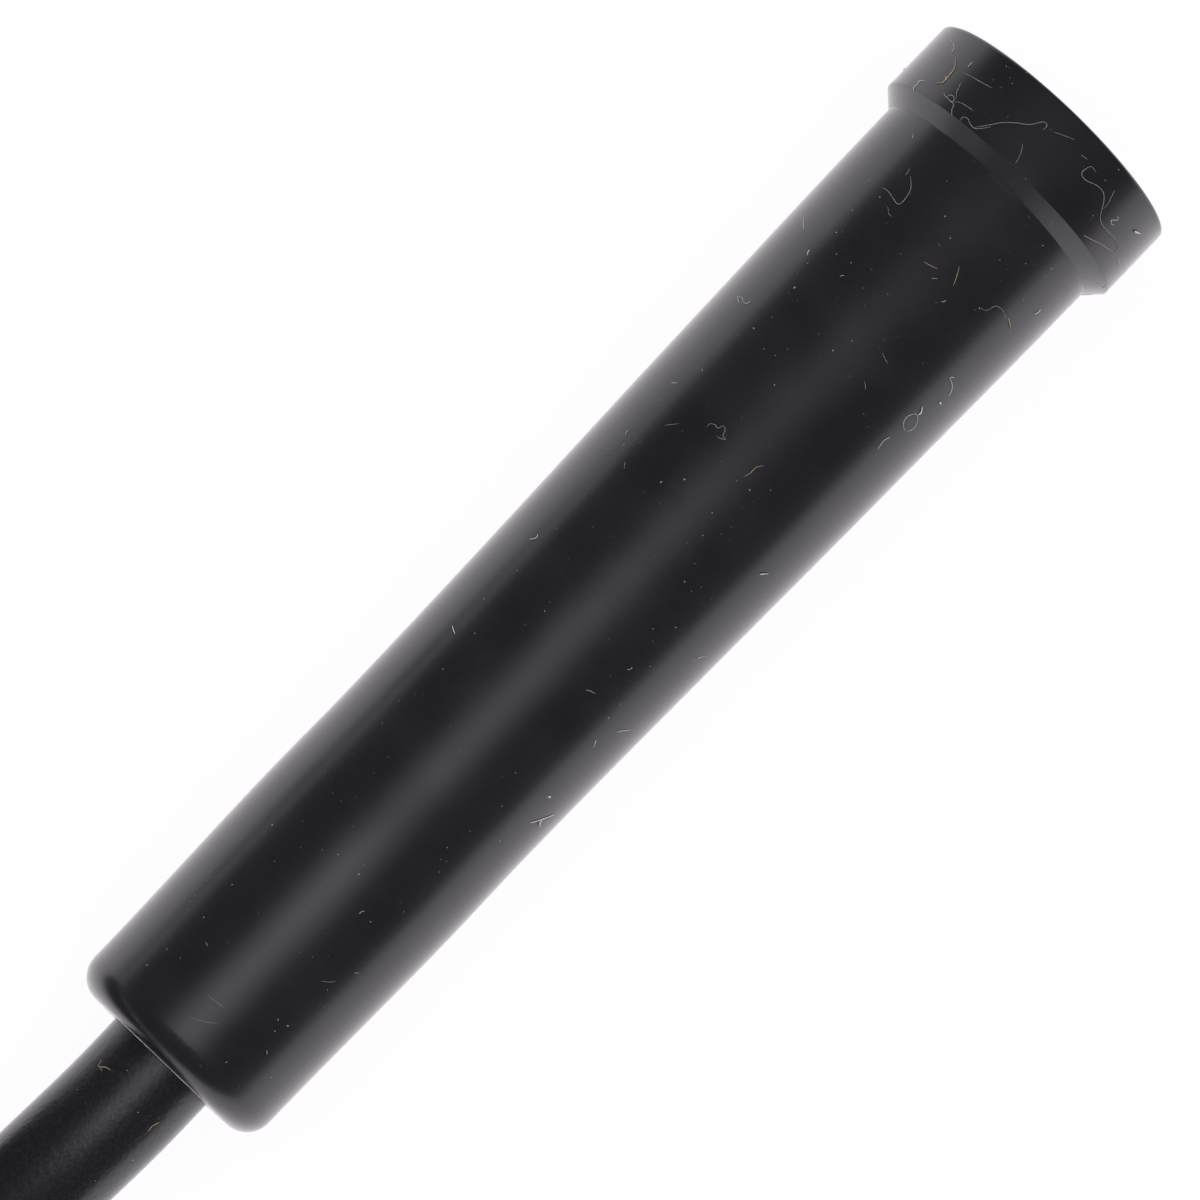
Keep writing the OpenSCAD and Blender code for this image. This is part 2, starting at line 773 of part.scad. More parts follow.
module plug_core(to_z, to_r, turn) on_plug() core(plug_jacket_end + seat_gap, to_z, to_r, turn);

module plug_common_wire() color("#1b1b1b")
    plug_core(hub_z - seat_gap, outer_insulator_r + core_r + 0.05, common_turn);

module plug_focus_wire() color("#e8e8e4")
    plug_core(rear_insulator_z - 0.1, ring_tube_r + core_r + 0.04, focus_turn);

module plug_release_wire() color("#b3261e")
    plug_core(front_insulator_z - 0.1, stem_r + core_r + 0.04, release_turn);

grip_sleeve();
switch_housing();
button_bezel();
push_button();
plunger();
contact_ring();
retaining_clip();
return_spring();
guide_bush();
contact_carrier();
carrier_screw();
common_contact();
focus_contact();
release_contact();
solder_beads();
common_wire();
focus_wire();
release_wire();
cord_ferrule();
cord_inner_end();
cord_lead();
cord_coil();
cord_tail();
plug_cord_end();
plug_boot();
plug_shell();
plug_sleeve_contact();
plug_rear_insulator();
plug_ring_contact();
plug_front_insulator();
plug_tip_contact();
plug_common_wire();
plug_focus_wire();
plug_release_wire();
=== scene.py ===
"""Looks of an electric cable shutter release: soft grip, button, grained cord and three-pole plug.

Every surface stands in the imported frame, in metres. The handle lies along X with its button
end at +X, and the plug lies beside the stored coil with its pin pointing the same way.
"""

import math

import bpy
import numpy as np
from bpy.props import FloatProperty, FloatVectorProperty, IntProperty, PointerProperty
from bpy.types import Operator, Panel, PropertyGroup
from mathutils import Matrix, Vector


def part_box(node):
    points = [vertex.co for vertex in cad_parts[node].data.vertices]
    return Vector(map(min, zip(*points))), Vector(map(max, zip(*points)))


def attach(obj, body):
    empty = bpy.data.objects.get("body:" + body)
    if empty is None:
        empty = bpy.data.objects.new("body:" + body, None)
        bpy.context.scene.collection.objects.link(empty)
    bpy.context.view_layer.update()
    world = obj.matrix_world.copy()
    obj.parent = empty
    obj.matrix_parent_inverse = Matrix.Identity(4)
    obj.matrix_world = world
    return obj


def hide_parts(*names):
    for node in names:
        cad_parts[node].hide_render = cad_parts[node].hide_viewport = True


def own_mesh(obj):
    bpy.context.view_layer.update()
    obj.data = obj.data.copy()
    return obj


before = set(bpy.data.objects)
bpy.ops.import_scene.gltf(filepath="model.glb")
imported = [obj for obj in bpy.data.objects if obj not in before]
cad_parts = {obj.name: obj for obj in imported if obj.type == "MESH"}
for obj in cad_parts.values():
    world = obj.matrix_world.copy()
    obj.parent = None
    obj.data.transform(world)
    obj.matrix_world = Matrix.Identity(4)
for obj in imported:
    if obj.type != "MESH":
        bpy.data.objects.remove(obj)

bl_info = {
    "name": "Cable shutter release",
    "version": (1, 0, 0),
    "blender": (4, 5, 0),
    "location": "View3D > Sidebar > Shutter release",
    "description": "Builds the visible surfaces of a cable shutter release round its packed frame",
    "category": "Object",
}

MM = 0.001
FULL_TURN = 2 * math.pi
HANDLE = "handle"
BUTTON = "button"

# Places that the frame gives. The handle's axis runs along X through HANDLE_AXIS, and the plug's
# through PLUG_AXIS.
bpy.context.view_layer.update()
GRIP_LOW, GRIP_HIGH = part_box("grip_sleeve")
COLLAR_R = (GRIP_HIGH.z - GRIP_LOW.z) / 2
CORD_FACE = GRIP_LOW.x
HANDLE_LENGTH = GRIP_HIGH.x - CORD_FACE
HANDLE_AXIS = np.array([CORD_FACE, 0.0, (GRIP_HIGH.z + GRIP_LOW.z) / 2])
JACKET_LOW, JACKET_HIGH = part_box("plug_cord_end")
CORD_R = (JACKET_HIGH.z - JACKET_LOW.z) / 2
PLUG_AXIS = np.array([JACKET_LOW.x, *((JACKET_LOW + JACKET_HIGH) / 2)[1:]])


def linear(code):
    """Linear colour of an sRGB hex value such as #26262a."""
    srgb = np.array([int(code[k:k + 2], 16) / 255 for k in (1, 3, 5)])
    return tuple(np.where(srgb <= 0.04045, srgb / 12.92, ((srgb + 0.055) / 1.055) ** 2.4))


def size(name, description, millimetres):
    """A length that a user may change."""
    return FloatProperty(name=name, description=description, default=millimetres * MM,
                         min=0.0, unit="LENGTH", precision=5)


def colour(name, description, code):
    """A finish's colour that a user may change."""
    return FloatVectorProperty(name=name, description=description, default=linear(code),
                               subtype="COLOR", size=3, min=0.0, max=1.0)


class GripSizes(PropertyGroup):
    """Outline of the soft grip. Distances run from the face that the cord leaves."""

    tail_r: size("Tail radius", "Radius just after the rounded cord end", 4.8)
    tail_round: size("Tail rounding", "Radius of the rounded edge at the cord end", 1.2)
    swell_at: size("Swell at", "Distance of the slight swell", 11.5)
    swell_r: size("Swell radius", "Radius at the swell", 4.935)
    waist_at: size("Waist at", "Distance of the waist", 15.8)
    waist_r: size("Waist radius", "Radius at the waist", 4.9)
    taper_at: size("Taper at", "Distance of a station on the long taper", 37.0)
    taper_r: size("Taper radius", "Radius at that station", 5.265)
    neck_r: size("Neck radius", "Radius where the grip meets the collar's bevel", 5.41)
    collar_length: size("Collar length", "Length of the collar without its bevel", 3.3)
    cord_hole_r: size("Cord hole radius", "Radius of the hole that the cord leaves", 2.58)
    end_wall: size("End wall", "Thickness of the wall at the cord end", 1.6)
    tube_bore_r: size("Tube bore radius", "Radius of the bore round the switch tube", 3.82)
    head_at: size("Head at", "Distance of the shoulder where the bore widens", 44.08)
    head_bore_r: size("Head bore radius", "Radius of the wide bore in the collar", 4.72)
    mouth_bevel: size("Mouth bevel", "Width of the bevel inside the rim", 0.25)
    edge_round: size("Edge rounding", "Radius of the moulded edges", 0.07)
    waviness: size("Waviness", "Height of the soft waves that a moulded rubber skin keeps", 0.006)


class ButtonSizes(PropertyGroup):
    """Button and bezel. Depths run from the collar's rim into the handle."""

    face_r: size("Face radius", "Radius of the button's face", 3.5)
    face_depth: size("Face depth", "Depth of the button's face below the rim", 0.4)
    edge_round: size("Edge rounding", "Radius of the button's edge", 0.3)
    dish_depth: size("Dish depth", "Depth of the hollow in the face", 0.4)
    roof: size("Roof", "Thickness under the middle of the hollow", 1.0)
    shoulder_depth: size("Shoulder depth", "Depth of the shoulder that the bezel holds back", 2.75)
    skirt_depth: size("Skirt depth", "Depth of the skirt's end", 4.7)
    skirt_r: size("Skirt radius", "Outer radius of the skirt", 4.07)
    skirt_bore_r: size("Skirt bore radius", "Inner radius of the skirt", 3.32)
    boss_r: size("Boss radius", "Radius of the boss round the plunger's socket", 2.27)
    socket_r: size("Socket radius", "Radius of the plunger's socket", 1.52)
    socket_depth: size("Socket depth", "Depth of the socket's floor", 2.5)
    bezel_depth: size("Bezel depth", "Depth of the bezel's face below the rim", 0.6)
    bezel_bevel: size("Bezel bevel", "Width of the bezel's bevels", 0.2)
    bezel_hole_r: size("Bezel hole radius", "Radius of the hole that the button moves in", 3.58)
    bezel_r: size("Bezel radius", "Outer radius of the bezel's flange", 4.7)
    spigot_r: size("Spigot radius", "Radius of the bezel's spigot", 4.13)
    flange_depth: size("Flange depth", "Depth of the flange's seat", 1.48)
    spigot_depth: size("Spigot depth", "Depth of the spigot's end", 2.7)


class SpringSizes(PropertyGroup):
    """Return spring under the button."""

    wire_r: size("Wire radius", "Radius of the spring's wire", 0.17)
    coil_r: size("Coil radius", "Radius of the spring at the middle of its wire", 2.795)
    turns: FloatProperty(name="Turns", description="Number of turns, the closed ones included",
                         default=6.0, min=3.0, max=7.0)


class CordSizes(PropertyGroup):
    """Route of the cord: a lead down to the surface, a stored coil and a tail up to the plug."""

    lift: size("Lift", "Clearance of the cord over the surface", 0.05)
    coil_diameter: size("Coil diameter", "Diameter of the coil at the middle of its turns", 50.0)
    turn_gap: size("Turn gap", "Gap between neighbouring turns and between layers", 0.55)
    step: size("Step", "Distance between the mesh's rings along the cord", 0.55)
    coil_turns: FloatProperty(name="Turns", description="Number of turns in the coil", default=3.5,
                              min=2.5, max=3.5)
    sides: IntProperty(name="Sides", description="Faces round the cord", default=56, min=12, max=72)


class PlugSizes(PropertyGroup):
    """Plug. Distances run from the end of the free cord along the plug."""

    boot_at: size("Boot at", "Distance of the boot's small end", 0.5)
    boot_end: size("Boot end", "Distance of the boot's large end", 12.0)
    boot_small_r: size("Boot small radius", "Radius of the boot's small end", 3.0)
    boot_large_r: size("Boot large radius", "Radius of the boot's large end", 3.5)
    boot_neck_r: size("Boot neck radius", "Radius of the neck that the shell holds", 3.05)
    boot_flange_r: size("Boot flange radius", "Radius of the flange inside the shell", 3.3)
    boot_hole_r: size("Boot hole radius", "Radius of the hole that the cord fills", 2.52)
    groove_width: size("Groove width", "Width of each groove in the boot", 0.9)
    groove_depth: size("Groove depth", "Depth of each groove in the boot", 0.35)
    groove_pitch: size("Groove pitch", "Distance from groove to groove", 2.0)
    shell_r: size("Shell radius", "Radius of the shell", 4.0)
    shell_end: size("Shell end", "Distance of the shell's front face", 30.5)
    shell_bore_r: size("Shell bore radius", "Radius of the shell's bore", 3.35)
    shell_wall_end: size("Shell end wall", "Thickness of the shell's rear wall", 1.2)
    shell_nose: size("Shell nose", "Thickness of the shell's front wall", 2.0)
    hub_r: size("Hub radius", "Radius of the metal hub in the shell's nose", 1.9)
    flute_r: size("Flute radius", "Radius of the tool that cuts a flute", 0.45)
    flute_sink: size("Flute depth", "Depth of a flute", 0.2)
    flute_margin: size("Flute margin", "Distance of the flutes from the shell's ends", 4.0)
    shoulder_r: size("Shoulder radius", "Radius of the pin's shoulder", 2.6)
    shoulder_end: size("Shoulder end", "Distance of the shoulder's front face", 31.3)
    pin_r: size("Pin radius", "Radius of the pin", 1.25)
    sleeve_end: size("Sleeve end", "End of the common contact", 36.4)
    ring_at: size("Ring at", "Start of the ring contact", 37.0)
    ring_end: size("Ring end", "End of the ring contact", 38.5)
    tip_at: size("Tip at", "Start of the tip contact", 39.1)
    pin_end: size("Pin end", "End of the pin", 42.3)
    flutes: IntProperty(name="Flutes", description="Flutes round the shell", default=12, min=6, max=16)
    grooves: IntProperty(name="Grooves", description="Grooves in the boot", default=4, min=0, max=4)


class LintSizes(PropertyGroup):
    """Fibres that the soft grip has picked up."""

    fibre_r: size("Fibre radius", "Radius of a lint fibre", 0.0105)
    arch: size("Arch", "Height that a fibre's waves stand off the skin", 0.03)
    shortest: size("Shortest", "Length of the shortest loose fibre", 0.25)
    longest: size("Longest", "Length of the longest loose fibre", 1.4)
    speck_r: size("Speck radius", "Radius of a dust speck of size 1", 0.022)
    fibres: IntProperty(name="Fibres", description="Loose fibres on the handle's underside", default=80,
                        min=4, max=400)
    specks: IntProperty(name="Specks", description="Fine dust specks all round", default=420, min=1,
                        max=2000)
    seed: IntProperty(name="Seed", description="Start of the scatter", default=7, min=0)


class Finishes(PropertyGroup):
    """Colours of the finishes."""

    rubber: colour("Rubber", "Soft grip", "#131316")
    jacket: colour("Jacket", "Cord", "#131316")
    moulding: colour("Moulding", "Boot and shell of the plug", "#1a1a1c")
    button: colour("Button", "Button and bezel", "#202023")
    dust: colour("Dust", "Dust film and specks", "#8d8a88")
    pale_lint: colour("Pale lint", "Cotton fibres", "#9c9a9e")
    # The same cotton as pale_lint, painted lighter: painted light for fibres lying on the flanks
    flank_lint_painted_light: colour("Flank lint, painted light", "Cotton fibres on the flanks, painted lighter as lit", "#dad7d9")
    golden_lint: colour("Golden lint", "Wool and jute fibres", "#b5a58b")
    nickel: colour("Nickel", "Contacts of the pin", "#c3bfb6")
    brass: colour("Brass", "Turned brass inside the handle", "#c29a4e")
    floor: colour("Floor", "Surface under the object", "#f4f4f4")


class StageSettings(PropertyGroup):
    """Camera, lamps and floor."""

    eye_back: size("Camera back", "Distance of the camera behind the handle's middle", 29.58)
    eye_height: size("Camera height", "Height of the camera over the handle's axis", 289.4)
    aim_back: size("Aim back", "Distance of the camera's aim behind the handle's middle", 0.53)
    side: size("Side", "Distance of the camera and its aim to the side of the axis", 0.097)
    lens: FloatProperty(name="Lens", description="Focal length on a 36 mm sensor, in millimetres",
                        default=216.97, min=20.0, max=400.0)
    roll: FloatProperty(name="Roll", description="Turn of the picture, from the handle lying level",
                        default=math.radians(46.204), subtype="ANGLE")
    floor_r: size("Floor radius", "Radius of the floor", 1500.0)
    lamp_height: size("Lamp height", "Height of the strip lamp over the surface", 330.0)
    lamp_behind: size("Lamp behind", "Distance of the strip lamp behind the handle's middle", 16.0)
    lamp_width: size("Lamp width", "Width of the strip lamp along the handle", 36.0)
    lamp_length: size("Lamp length", "Length of the strip lamp across the handle", 360.0)
    lamp_power: FloatProperty(name="Lamp power", description="Power of the strip lamp, in watts",
                              default=0.0094, min=0.0)
    lamp_spread: FloatProperty(name="Lamp spread", description="Spread of the strip lamp's grid",
                               default=math.radians(59), min=0.1, max=math.pi, subtype="ANGLE")
    fill_height: size("Fill height", "Height of the fill lamp over the surface", 700.0)
    fill_size: size("Fill size", "Diameter of the fill lamp", 900.0)
    fill_power: FloatProperty(name="Fill power", description="Power of the fill lamp, in watts",
                              default=6.6, min=0.0)
    ceiling: FloatProperty(name="Ceiling", description="Brightness of the room overhead",
                           default=0.1, min=0.0)


# ---------------------------------------------------------------------------------------------
# Shapes


def hermite(knots, values, slopes, at):
    """Cubic curve through the values at the knots with the given slopes, read at the places at.

    With u the share of the way from one knot to the next and h their distance, the curve is
    v0 (2u^3 - 3u^2 + 1) + s0 h (u^3 - 2u^2 + u) + v1 (3u^2 - 2u^3) + s1 h (u^3 - u^2).
    """
    i = np.clip(np.searchsorted(knots, at, side="right") - 1, 0, len(knots) - 2)
    h = knots[i + 1] - knots[i]
    u = (at - knots[i]) / h
    shape = (-1,) + (1,) * (values.ndim - 1)
    h, u = h.reshape(shape), u.reshape(shape)
    return (values[i] * (2 * u**3 - 3 * u**2 + 1) + slopes[i] * h * (u**3 - 2 * u**2 + u)
            + values[i + 1] * (3 * u**2 - 2 * u**3) + slopes[i + 1] * h * (u**3 - u**2))


def rounded(corners, steps=7):
    """Open outline through corners (along, radius, rounding), each turned by an arc of its rounding.

    The arc starts and ends rounding * tan(turn / 2) from the corner. A station beside each end of
    an arc keeps the flat next to it flat when the surface is shaded smoothly.
    """
    corners = np.array(corners, float)
    points, rounding = corners[:, :2], corners[:, 2]
    parts = [points[:1]]
    for before, corner, after, r in zip(points[:-2], points[1:-1], points[2:], rounding[1:-1]):
        into, out = corner - before, after - corner
        room = min(np.linalg.norm(into), np.linalg.norm(out)) / 2.2
        into, out = into / np.linalg.norm(into), out / np.linalg.norm(out)
        turn = math.acos(np.clip(into @ out, -1, 1))
        if r == 0 or turn < 1e-6:
            parts.append(corner[None])
            continue
        reach = min(r * math.tan(turn / 2), room)
        r = reach / math.tan(turn / 2)
        side = out - (into @ out) * into
        side /= np.linalg.norm(side)
        a = np.linspace(0, turn, steps)[:, None]
        arc = corner - reach * into + r * (np.sin(a) * into + (1 - np.cos(a)) * side)
        guard = min(0.35 * reach, room * 1.1 - reach)
        parts += [arc[:1] - guard * into, arc, arc[-1:] + guard * out]
    return np.concatenate(parts + [points[-1:]])


def revolve(outline, axis_point, columns, radius_at=None):
    """Grid of a surface of revolution about a line along X through axis_point.

    Station (s, r) and column angle a give (x0 + s, y0 + r sin a, z0 + r cos a). radius_at(s, r, a)
    may change the radius from column to column.
    """
    a = np.arange(columns) * FULL_TURN / columns
    s, r = outline[:, :1], outline[:, 1:]
    radius = r + 0 * a if radius_at is None else radius_at(s, r, a[None])
    return np.stack([axis_point[0] + s + 0 * a, axis_point[1] + radius * np.sin(a),
                     axis_point[2] + radius * np.cos(a)], axis=-1)


def headings(path):
    """Unit direction along a path at each of its points, by central differences."""
    way = np.gradient(path, axis=0)
    return way / np.linalg.norm(way, axis=1, keepdims=True)


def tube(path, radius, sides, up=(0, 0, 1)):
    """Grid of a tube round a path: ring i and angle a give p + r (cos a side + sin a top).

    side is square to the path and to up, and top is square to the path and to side.
    """
    way = headings(path)
    side = np.cross(way, up)
    side /= np.linalg.norm(side, axis=1, keepdims=True)
    top = np.cross(side, way)
    a = (np.arange(sides) * FULL_TURN / sides)[None, :, None]
    r = np.broadcast_to(radius, len(path))[:, None, None]
    return path[:, None] + r * (np.cos(a) * side[:, None] + np.sin(a) * top[:, None])


def grid_faces(rows, columns, closed):
    """Quads of a grid whose columns wrap round, and whose rows do too if it is closed."""
    i = np.arange(rows if closed else rows - 1)[:, None]
    j = np.arange(columns)[None]
    k = (i + 1) % rows
    n = (j + 1) % columns
    return np.stack([i * columns + j, i * columns + n, k * columns + n, k * columns + j],
                    axis=-1).reshape(-1, 4)


def outward(points, faces):
    """The faces, turned round if the volume they enclose by the divergence theorem is negative."""
    centred = points - points.mean(axis=0)
    a, b, c = (centred[faces[:, k]] for k in range(3))
    volume = np.einsum("ij,ij->i", a, np.cross(b, c)).sum()
    if faces.shape[1] == 4:
        d = centred[faces[:, 3]]
        volume += np.einsum("ij,ij->i", a, np.cross(c, d)).sum()
    return faces if volume > 0 else faces[:, ::-1]


def closed_surface(grid, closed=False):
    """Points and faces of one closed surface: a ring of rings, or rows ended by a pole at each end."""
    rows, columns = grid.shape[:2]
    points = grid.reshape(-1, 3)
    quads = grid_faces(rows, columns, closed)
    if closed:
        return points, outward(points, quads), np.empty((0, 3), int)
    j = np.arange(columns)
    n = (j + 1) % columns
    first, last = len(points), len(points) + 1
    start = np.stack([np.full(columns, first), n, j], axis=-1)
    end = np.stack([(rows - 1) * columns + j, (rows - 1) * columns + n, np.full(columns, last)], axis=-1)
    points = np.concatenate([points, grid[:1].mean(axis=1), grid[-1:].mean(axis=1)])
    caps = np.concatenate([start, end])
    if outward(points, quads) is quads:
        return points, quads, caps
    return points, quads[:, ::-1], caps[:, ::-1]


def make_piece(name, surfaces, material, body, replaces=()):
    """One smooth mesh object of closed surfaces, dressed, riding on its body."""
    points, quads, triangles, count = [], [], [], 0
    for p, q, t in surfaces:
        points.append(p)
        quads.append(q + count)
        triangles.append(t + count)
        count += len(p)
    mesh = bpy.data.meshes.new(name)
    faces = np.concatenate(quads).tolist() + np.concatenate(triangles).tolist()
    mesh.from_pydata(np.concatenate(points), [], faces)
    mesh.shade_smooth()
    mesh.materials.append(material)
    piece = bpy.data.objects.new(name, mesh)
    bpy.context.scene.collection.objects.link(piece)
    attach(piece, body)
    if replaces:
        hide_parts(*replaces)
    return piece


def dress(material, *nodes):
    """Gives carried-over nodes of the frame their material."""
    for name in nodes:
        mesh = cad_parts[name].data
        mesh.materials.clear()
        mesh.materials.append(material)


# ---------------------------------------------------------------------------------------------
# Materials


def add(tree, kind, inputs=None, **settings):
    """Adds one shader node. settings are its own properties, and inputs go to its sockets."""
    made = tree.nodes.new("ShaderNode" + kind)
    for key, value in settings.items():
        setattr(made, key, value)
    for key, value in (inputs or {}).items():
        if isinstance(value, bpy.types.NodeSocket):
            tree.links.new(value, made.inputs[key])
        else:
            made.inputs[key].default_value = value
    return made


def begin(name):
    """A new material with its shader and the coordinates of the piece."""
    material = bpy.data.materials.new(name)
    material.use_nodes = True
    tree = material.node_tree
    tree.nodes.clear()
    shader = add(tree, "BsdfPrincipled")
    add(tree, "OutputMaterial", {"Surface": shader.outputs[0]})
    place = add(tree, "TexCoord").outputs["Object"]
    return material, tree, shader, place


def per_mm(millimetres):
    """Texture scale at which one cell or wave measures so many millimetres."""
    return 1 / (millimetres * MM)


def rgba(colour_value, share=1.0):
    """A shader's colour value: the colour made darker or lighter by the share."""
    return (*(c * share for c in colour_value), 1.0)


def noise(tree, place, cell_mm, detail, roughness=0.5):
    """Value of a noise whose cells measure so many millimetres."""
    return add(tree, "TexNoise", {"Vector": place, "Scale": per_mm(cell_mm), "Detail": detail,
                                  "Roughness": roughness}).outputs["Fac"]


def cells(tree, place, cell_mm, feature="F1"):
    """Distance from the nearest cell's middle, and the cell's own colour."""
    made = add(tree, "TexVoronoi", {"Vector": place, "Scale": per_mm(cell_mm)}, feature=feature)
    return made.outputs["Distance"], made.outputs["Color"]


def maths(tree, operation, first, second):
    """Result of an operation on two values."""
    return add(tree, "Math", {0: first, 1: second}, operation=operation).outputs[0]


def ramp(tree, value, start, end, low, high, kind="LINEAR"):
    """Value that runs from low to high as the given one goes from start to end."""
    return add(tree, "MapRange", {"Value": value, "From Min": start, "From Max": end, "To Min": low,
                                  "To Max": high}, interpolation_type=kind).outputs[0]


def blend(tree, factor, low, high):
    """Colour that runs from low to high with the factor."""
    return add(tree, "Mix", {"Factor": factor, 6: low, 7: high}, data_type="RGBA").outputs[2]


def vary_colour(tree, shader, factor, low, high):
    """Lets the base colour run from low to high with the factor."""
    tree.links.new(blend(tree, factor, low, high), shader.inputs["Base Color"])


def vary_roughness(tree, shader, value, low, high, start=0.3, end=0.7):
    """Lets the roughness run from low to high as the value goes from start to end."""
    tree.links.new(ramp(tree, value, start, end, low, high), shader.inputs["Roughness"])


def raise_grain(tree, shader, height, height_mm, strength):
    """Turns a height pattern into bumps of the skin."""
    bump = add(tree, "Bump", {"Height": height, "Distance": height_mm * MM, "Strength": strength})
    tree.links.new(bump.outputs[0], shader.inputs["Normal"])


# Smooth skin of the soft black plastics: a satin coat, and a sheen for the dust seen edge on. Both
# lean a little to violet, as the edges of such skins do over a white surface.
SATIN_SKIN = {
    "IOR": 1.5, "Specular Tint": (0.98, 0.95, 1.0, 1.0), "Coat Weight": 0.7, "Coat Roughness": 0.28,
    "Coat IOR": 1.5, "Coat Tint": (0.98, 0.93, 1.0, 1.0), "Sheen Weight": 0.6, "Sheen Roughness": 0.2,
    "Sheen Tint": (1.0, 0.9, 0.96, 1.0),
}


def wear_satin_skin(shader):
    """Gives a shader the shared satin skin."""
    for socket, value in SATIN_SKIN.items():
        shader.inputs[socket].default_value = value


def moulded_rubber(finishes):
    """Thermoplastic rubber, moulded in a polished tool: near black with a soft satin skin.

    The eye gets one soft highlight and light edges, a faint grain, slight cloudiness, a thin film of
    dust that dulls it in patches, and fine pale dust that grows denser towards the collar. The
    coat stands for the smooth moulded skin, and the sheen for the dust seen edge on.
    """
    material, tree, shader, place = begin("thermoplastic_rubber_moulded")
    cloud = noise(tree, place, 5.0, 2.0)
    film = ramp(tree, noise(tree, place, 2.4, 1.5), 0.25, 0.85, 0.0, 0.016, "SMOOTHSTEP")
    x = add(tree, "SeparateXYZ", {"Vector": place}).outputs["X"]
    dusty = ramp(tree, x, CORD_FACE, -CORD_FACE, 0.2, 0.4)
    distance, tone = cells(tree, place, 0.42)
    chance = add(tree, "SeparateColor", {"Color": tone}).outputs["Red"]
    powder = maths(tree, "MULTIPLY", ramp(tree, distance, 0.02, 0.1, 0.3, 0.0),
                   maths(tree, "LESS_THAN", chance, dusty))
    clouded = blend(tree, cloud, rgba(finishes.rubber, 0.88), rgba(finishes.rubber, 1.12))
    vary_colour(tree, shader, maths(tree, "MAXIMUM", film, powder), clouded, rgba(finishes.dust))
    vary_roughness(tree, shader, cloud, 0.278, 0.292)
    raise_grain(tree, shader, noise(tree, place, 0.09, 3.0, 0.6), 0.0012, 0.9)
    wear_satin_skin(shader)
    return material


def grained_jacket(finishes):
    """Soft PVC jacket, extruded with a leather-like grain: satin black. Its base colour is painted
    lighter on the tops of the grain, in small pale dots of about 0.15 mm: a painted highlight that
    stands in for the glints that break up the jacket's highlight."""
    material, tree, shader, place = begin("pvc_jacket_grained")
    fine = noise(tree, place, 0.12, 2.0)
    height = maths(tree, "ADD", cells(tree, place, 0.22, "SMOOTH_F1")[0], fine)
    # Painted highlight: base colour lighter on the grain's tops, standing in for their glints
    painted_grain_glints = ramp(tree, fine, 0.5, 0.68, 0.0, 1.0, "SMOOTHSTEP")
    vary_colour(tree, shader, painted_grain_glints, rgba(finishes.jacket, 0.9), rgba(finishes.jacket, 1.9))
    vary_roughness(tree, shader, noise(tree, place, 3.0, 3.0), 0.276, 0.31, start=0.0, end=1.0)
    raise_grain(tree, shader, height, 0.014, 1.0)
    wear_satin_skin(shader)
    return material


def satin_moulding(name, tone, grain_mm, grain_height_mm, rough_low, rough_high):
    """Moulded plastic with a spark-eroded texture: even colour, satin, with a grain that shows only
    in the highlight and faint cloudiness from handling."""
    material, tree, shader, place = begin(name)
    cloud = noise(tree, place, 2.5, 5.0, 0.65)
    vary_colour(tree, shader, cloud, rgba(tone, 0.85), rgba(tone, 1.18))
    vary_roughness(tree, shader, cloud, rough_low, rough_high)
    raise_grain(tree, shader, noise(tree, place, grain_mm, 2.0), grain_height_mm, 0.8)
    return material


def turned_metal(name, tone, groove_mm, rough_low, rough_high):
    """Turned and plated metal: tool rings run round the piece, so the pattern is stretched across X,
    the axis of every turned piece here. Roughness varies where it has been handled."""
    material, tree, shader, place = begin(name)
    shader.inputs["Metallic"].default_value = 1.0
    rings = add(tree, "Mapping", {"Vector": place, "Scale": (1.0, 0.03, 0.03)}).outputs[0]
    worn = noise(tree, place, 0.9, 4.0)
    vary_colour(tree, shader, worn, rgba(tone, 0.88), rgba(tone))
    vary_roughness(tree, shader, worn, rough_low, rough_high)
    raise_grain(tree, shader, noise(tree, rings, groove_mm, 3.0), 0.004, 0.6)
    return material


def layered_phenolic():
    """Paper-filled phenolic board: warm brown, with fine darker layers and a dull machined face."""
    material, tree, shader, place = begin("phenolic_board_machined")
    layers = add(tree, "TexWave", {"Vector": place, "Scale": per_mm(1.2), "Distortion": 1.5, "Detail": 2.0},
                 bands_direction="Z")
    paper = noise(tree, place, 0.3, 4.0)
    share = maths(tree, "MULTIPLY", layers.outputs["Fac"], paper)
    vary_colour(tree, shader, share, rgba(linear("#5a3318")), rgba(linear("#85552c")))
    shader.inputs["Roughness"].default_value = 0.55
    raise_grain(tree, shader, paper, 0.01, 0.6)
    return material


def lint_fibre(name, tone):
    """Textile fibre: dull and a little uneven along its length."""
    material, tree, shader, place = begin(name)
    vary_colour(tree, shader, noise(tree, place, 0.2, 2.0), rgba(tone, 0.6), rgba(tone))
    shader.inputs["Roughness"].default_value = 0.8
    return material


def dust_crumb(tone):
    """Crumb of house dust: dull and pale, and its tone wanders from grey to tan from crumb to crumb."""
    material, tree, shader, place = begin("house_dust")
    tan = [c * share for c, share in zip(tone, (0.7, 0.55, 0.38))]
    vary_colour(tree, shader, noise(tree, place, 1.2, 1.0), rgba(tan), rgba(tone, 1.25))
    shader.inputs["Roughness"].default_value = 0.85
    return material


# ---------------------------------------------------------------------------------------------
# The handle


def grip_side(grip, at):
    """Radius of the grip's long side at the distances at: a cubic through its stations, level at
    its two ends and with the mean of both neighbours' slopes at the stations between."""
    bevel = COLLAR_R - grip.neck_r
    knots = np.array([grip.tail_round, grip.swell_at, grip.waist_at, grip.taper_at,
                      HANDLE_LENGTH - grip.collar_length - bevel])
    radii = np.array([grip.tail_r, grip.swell_r, grip.waist_r, grip.taper_r, grip.neck_r])
    chords = np.diff(radii) / np.diff(knots)
    slopes = np.concatenate([[0], (chords[1:] + chords[:-1]) / 2, [0]])
    return hermite(knots, radii, slopes, at)


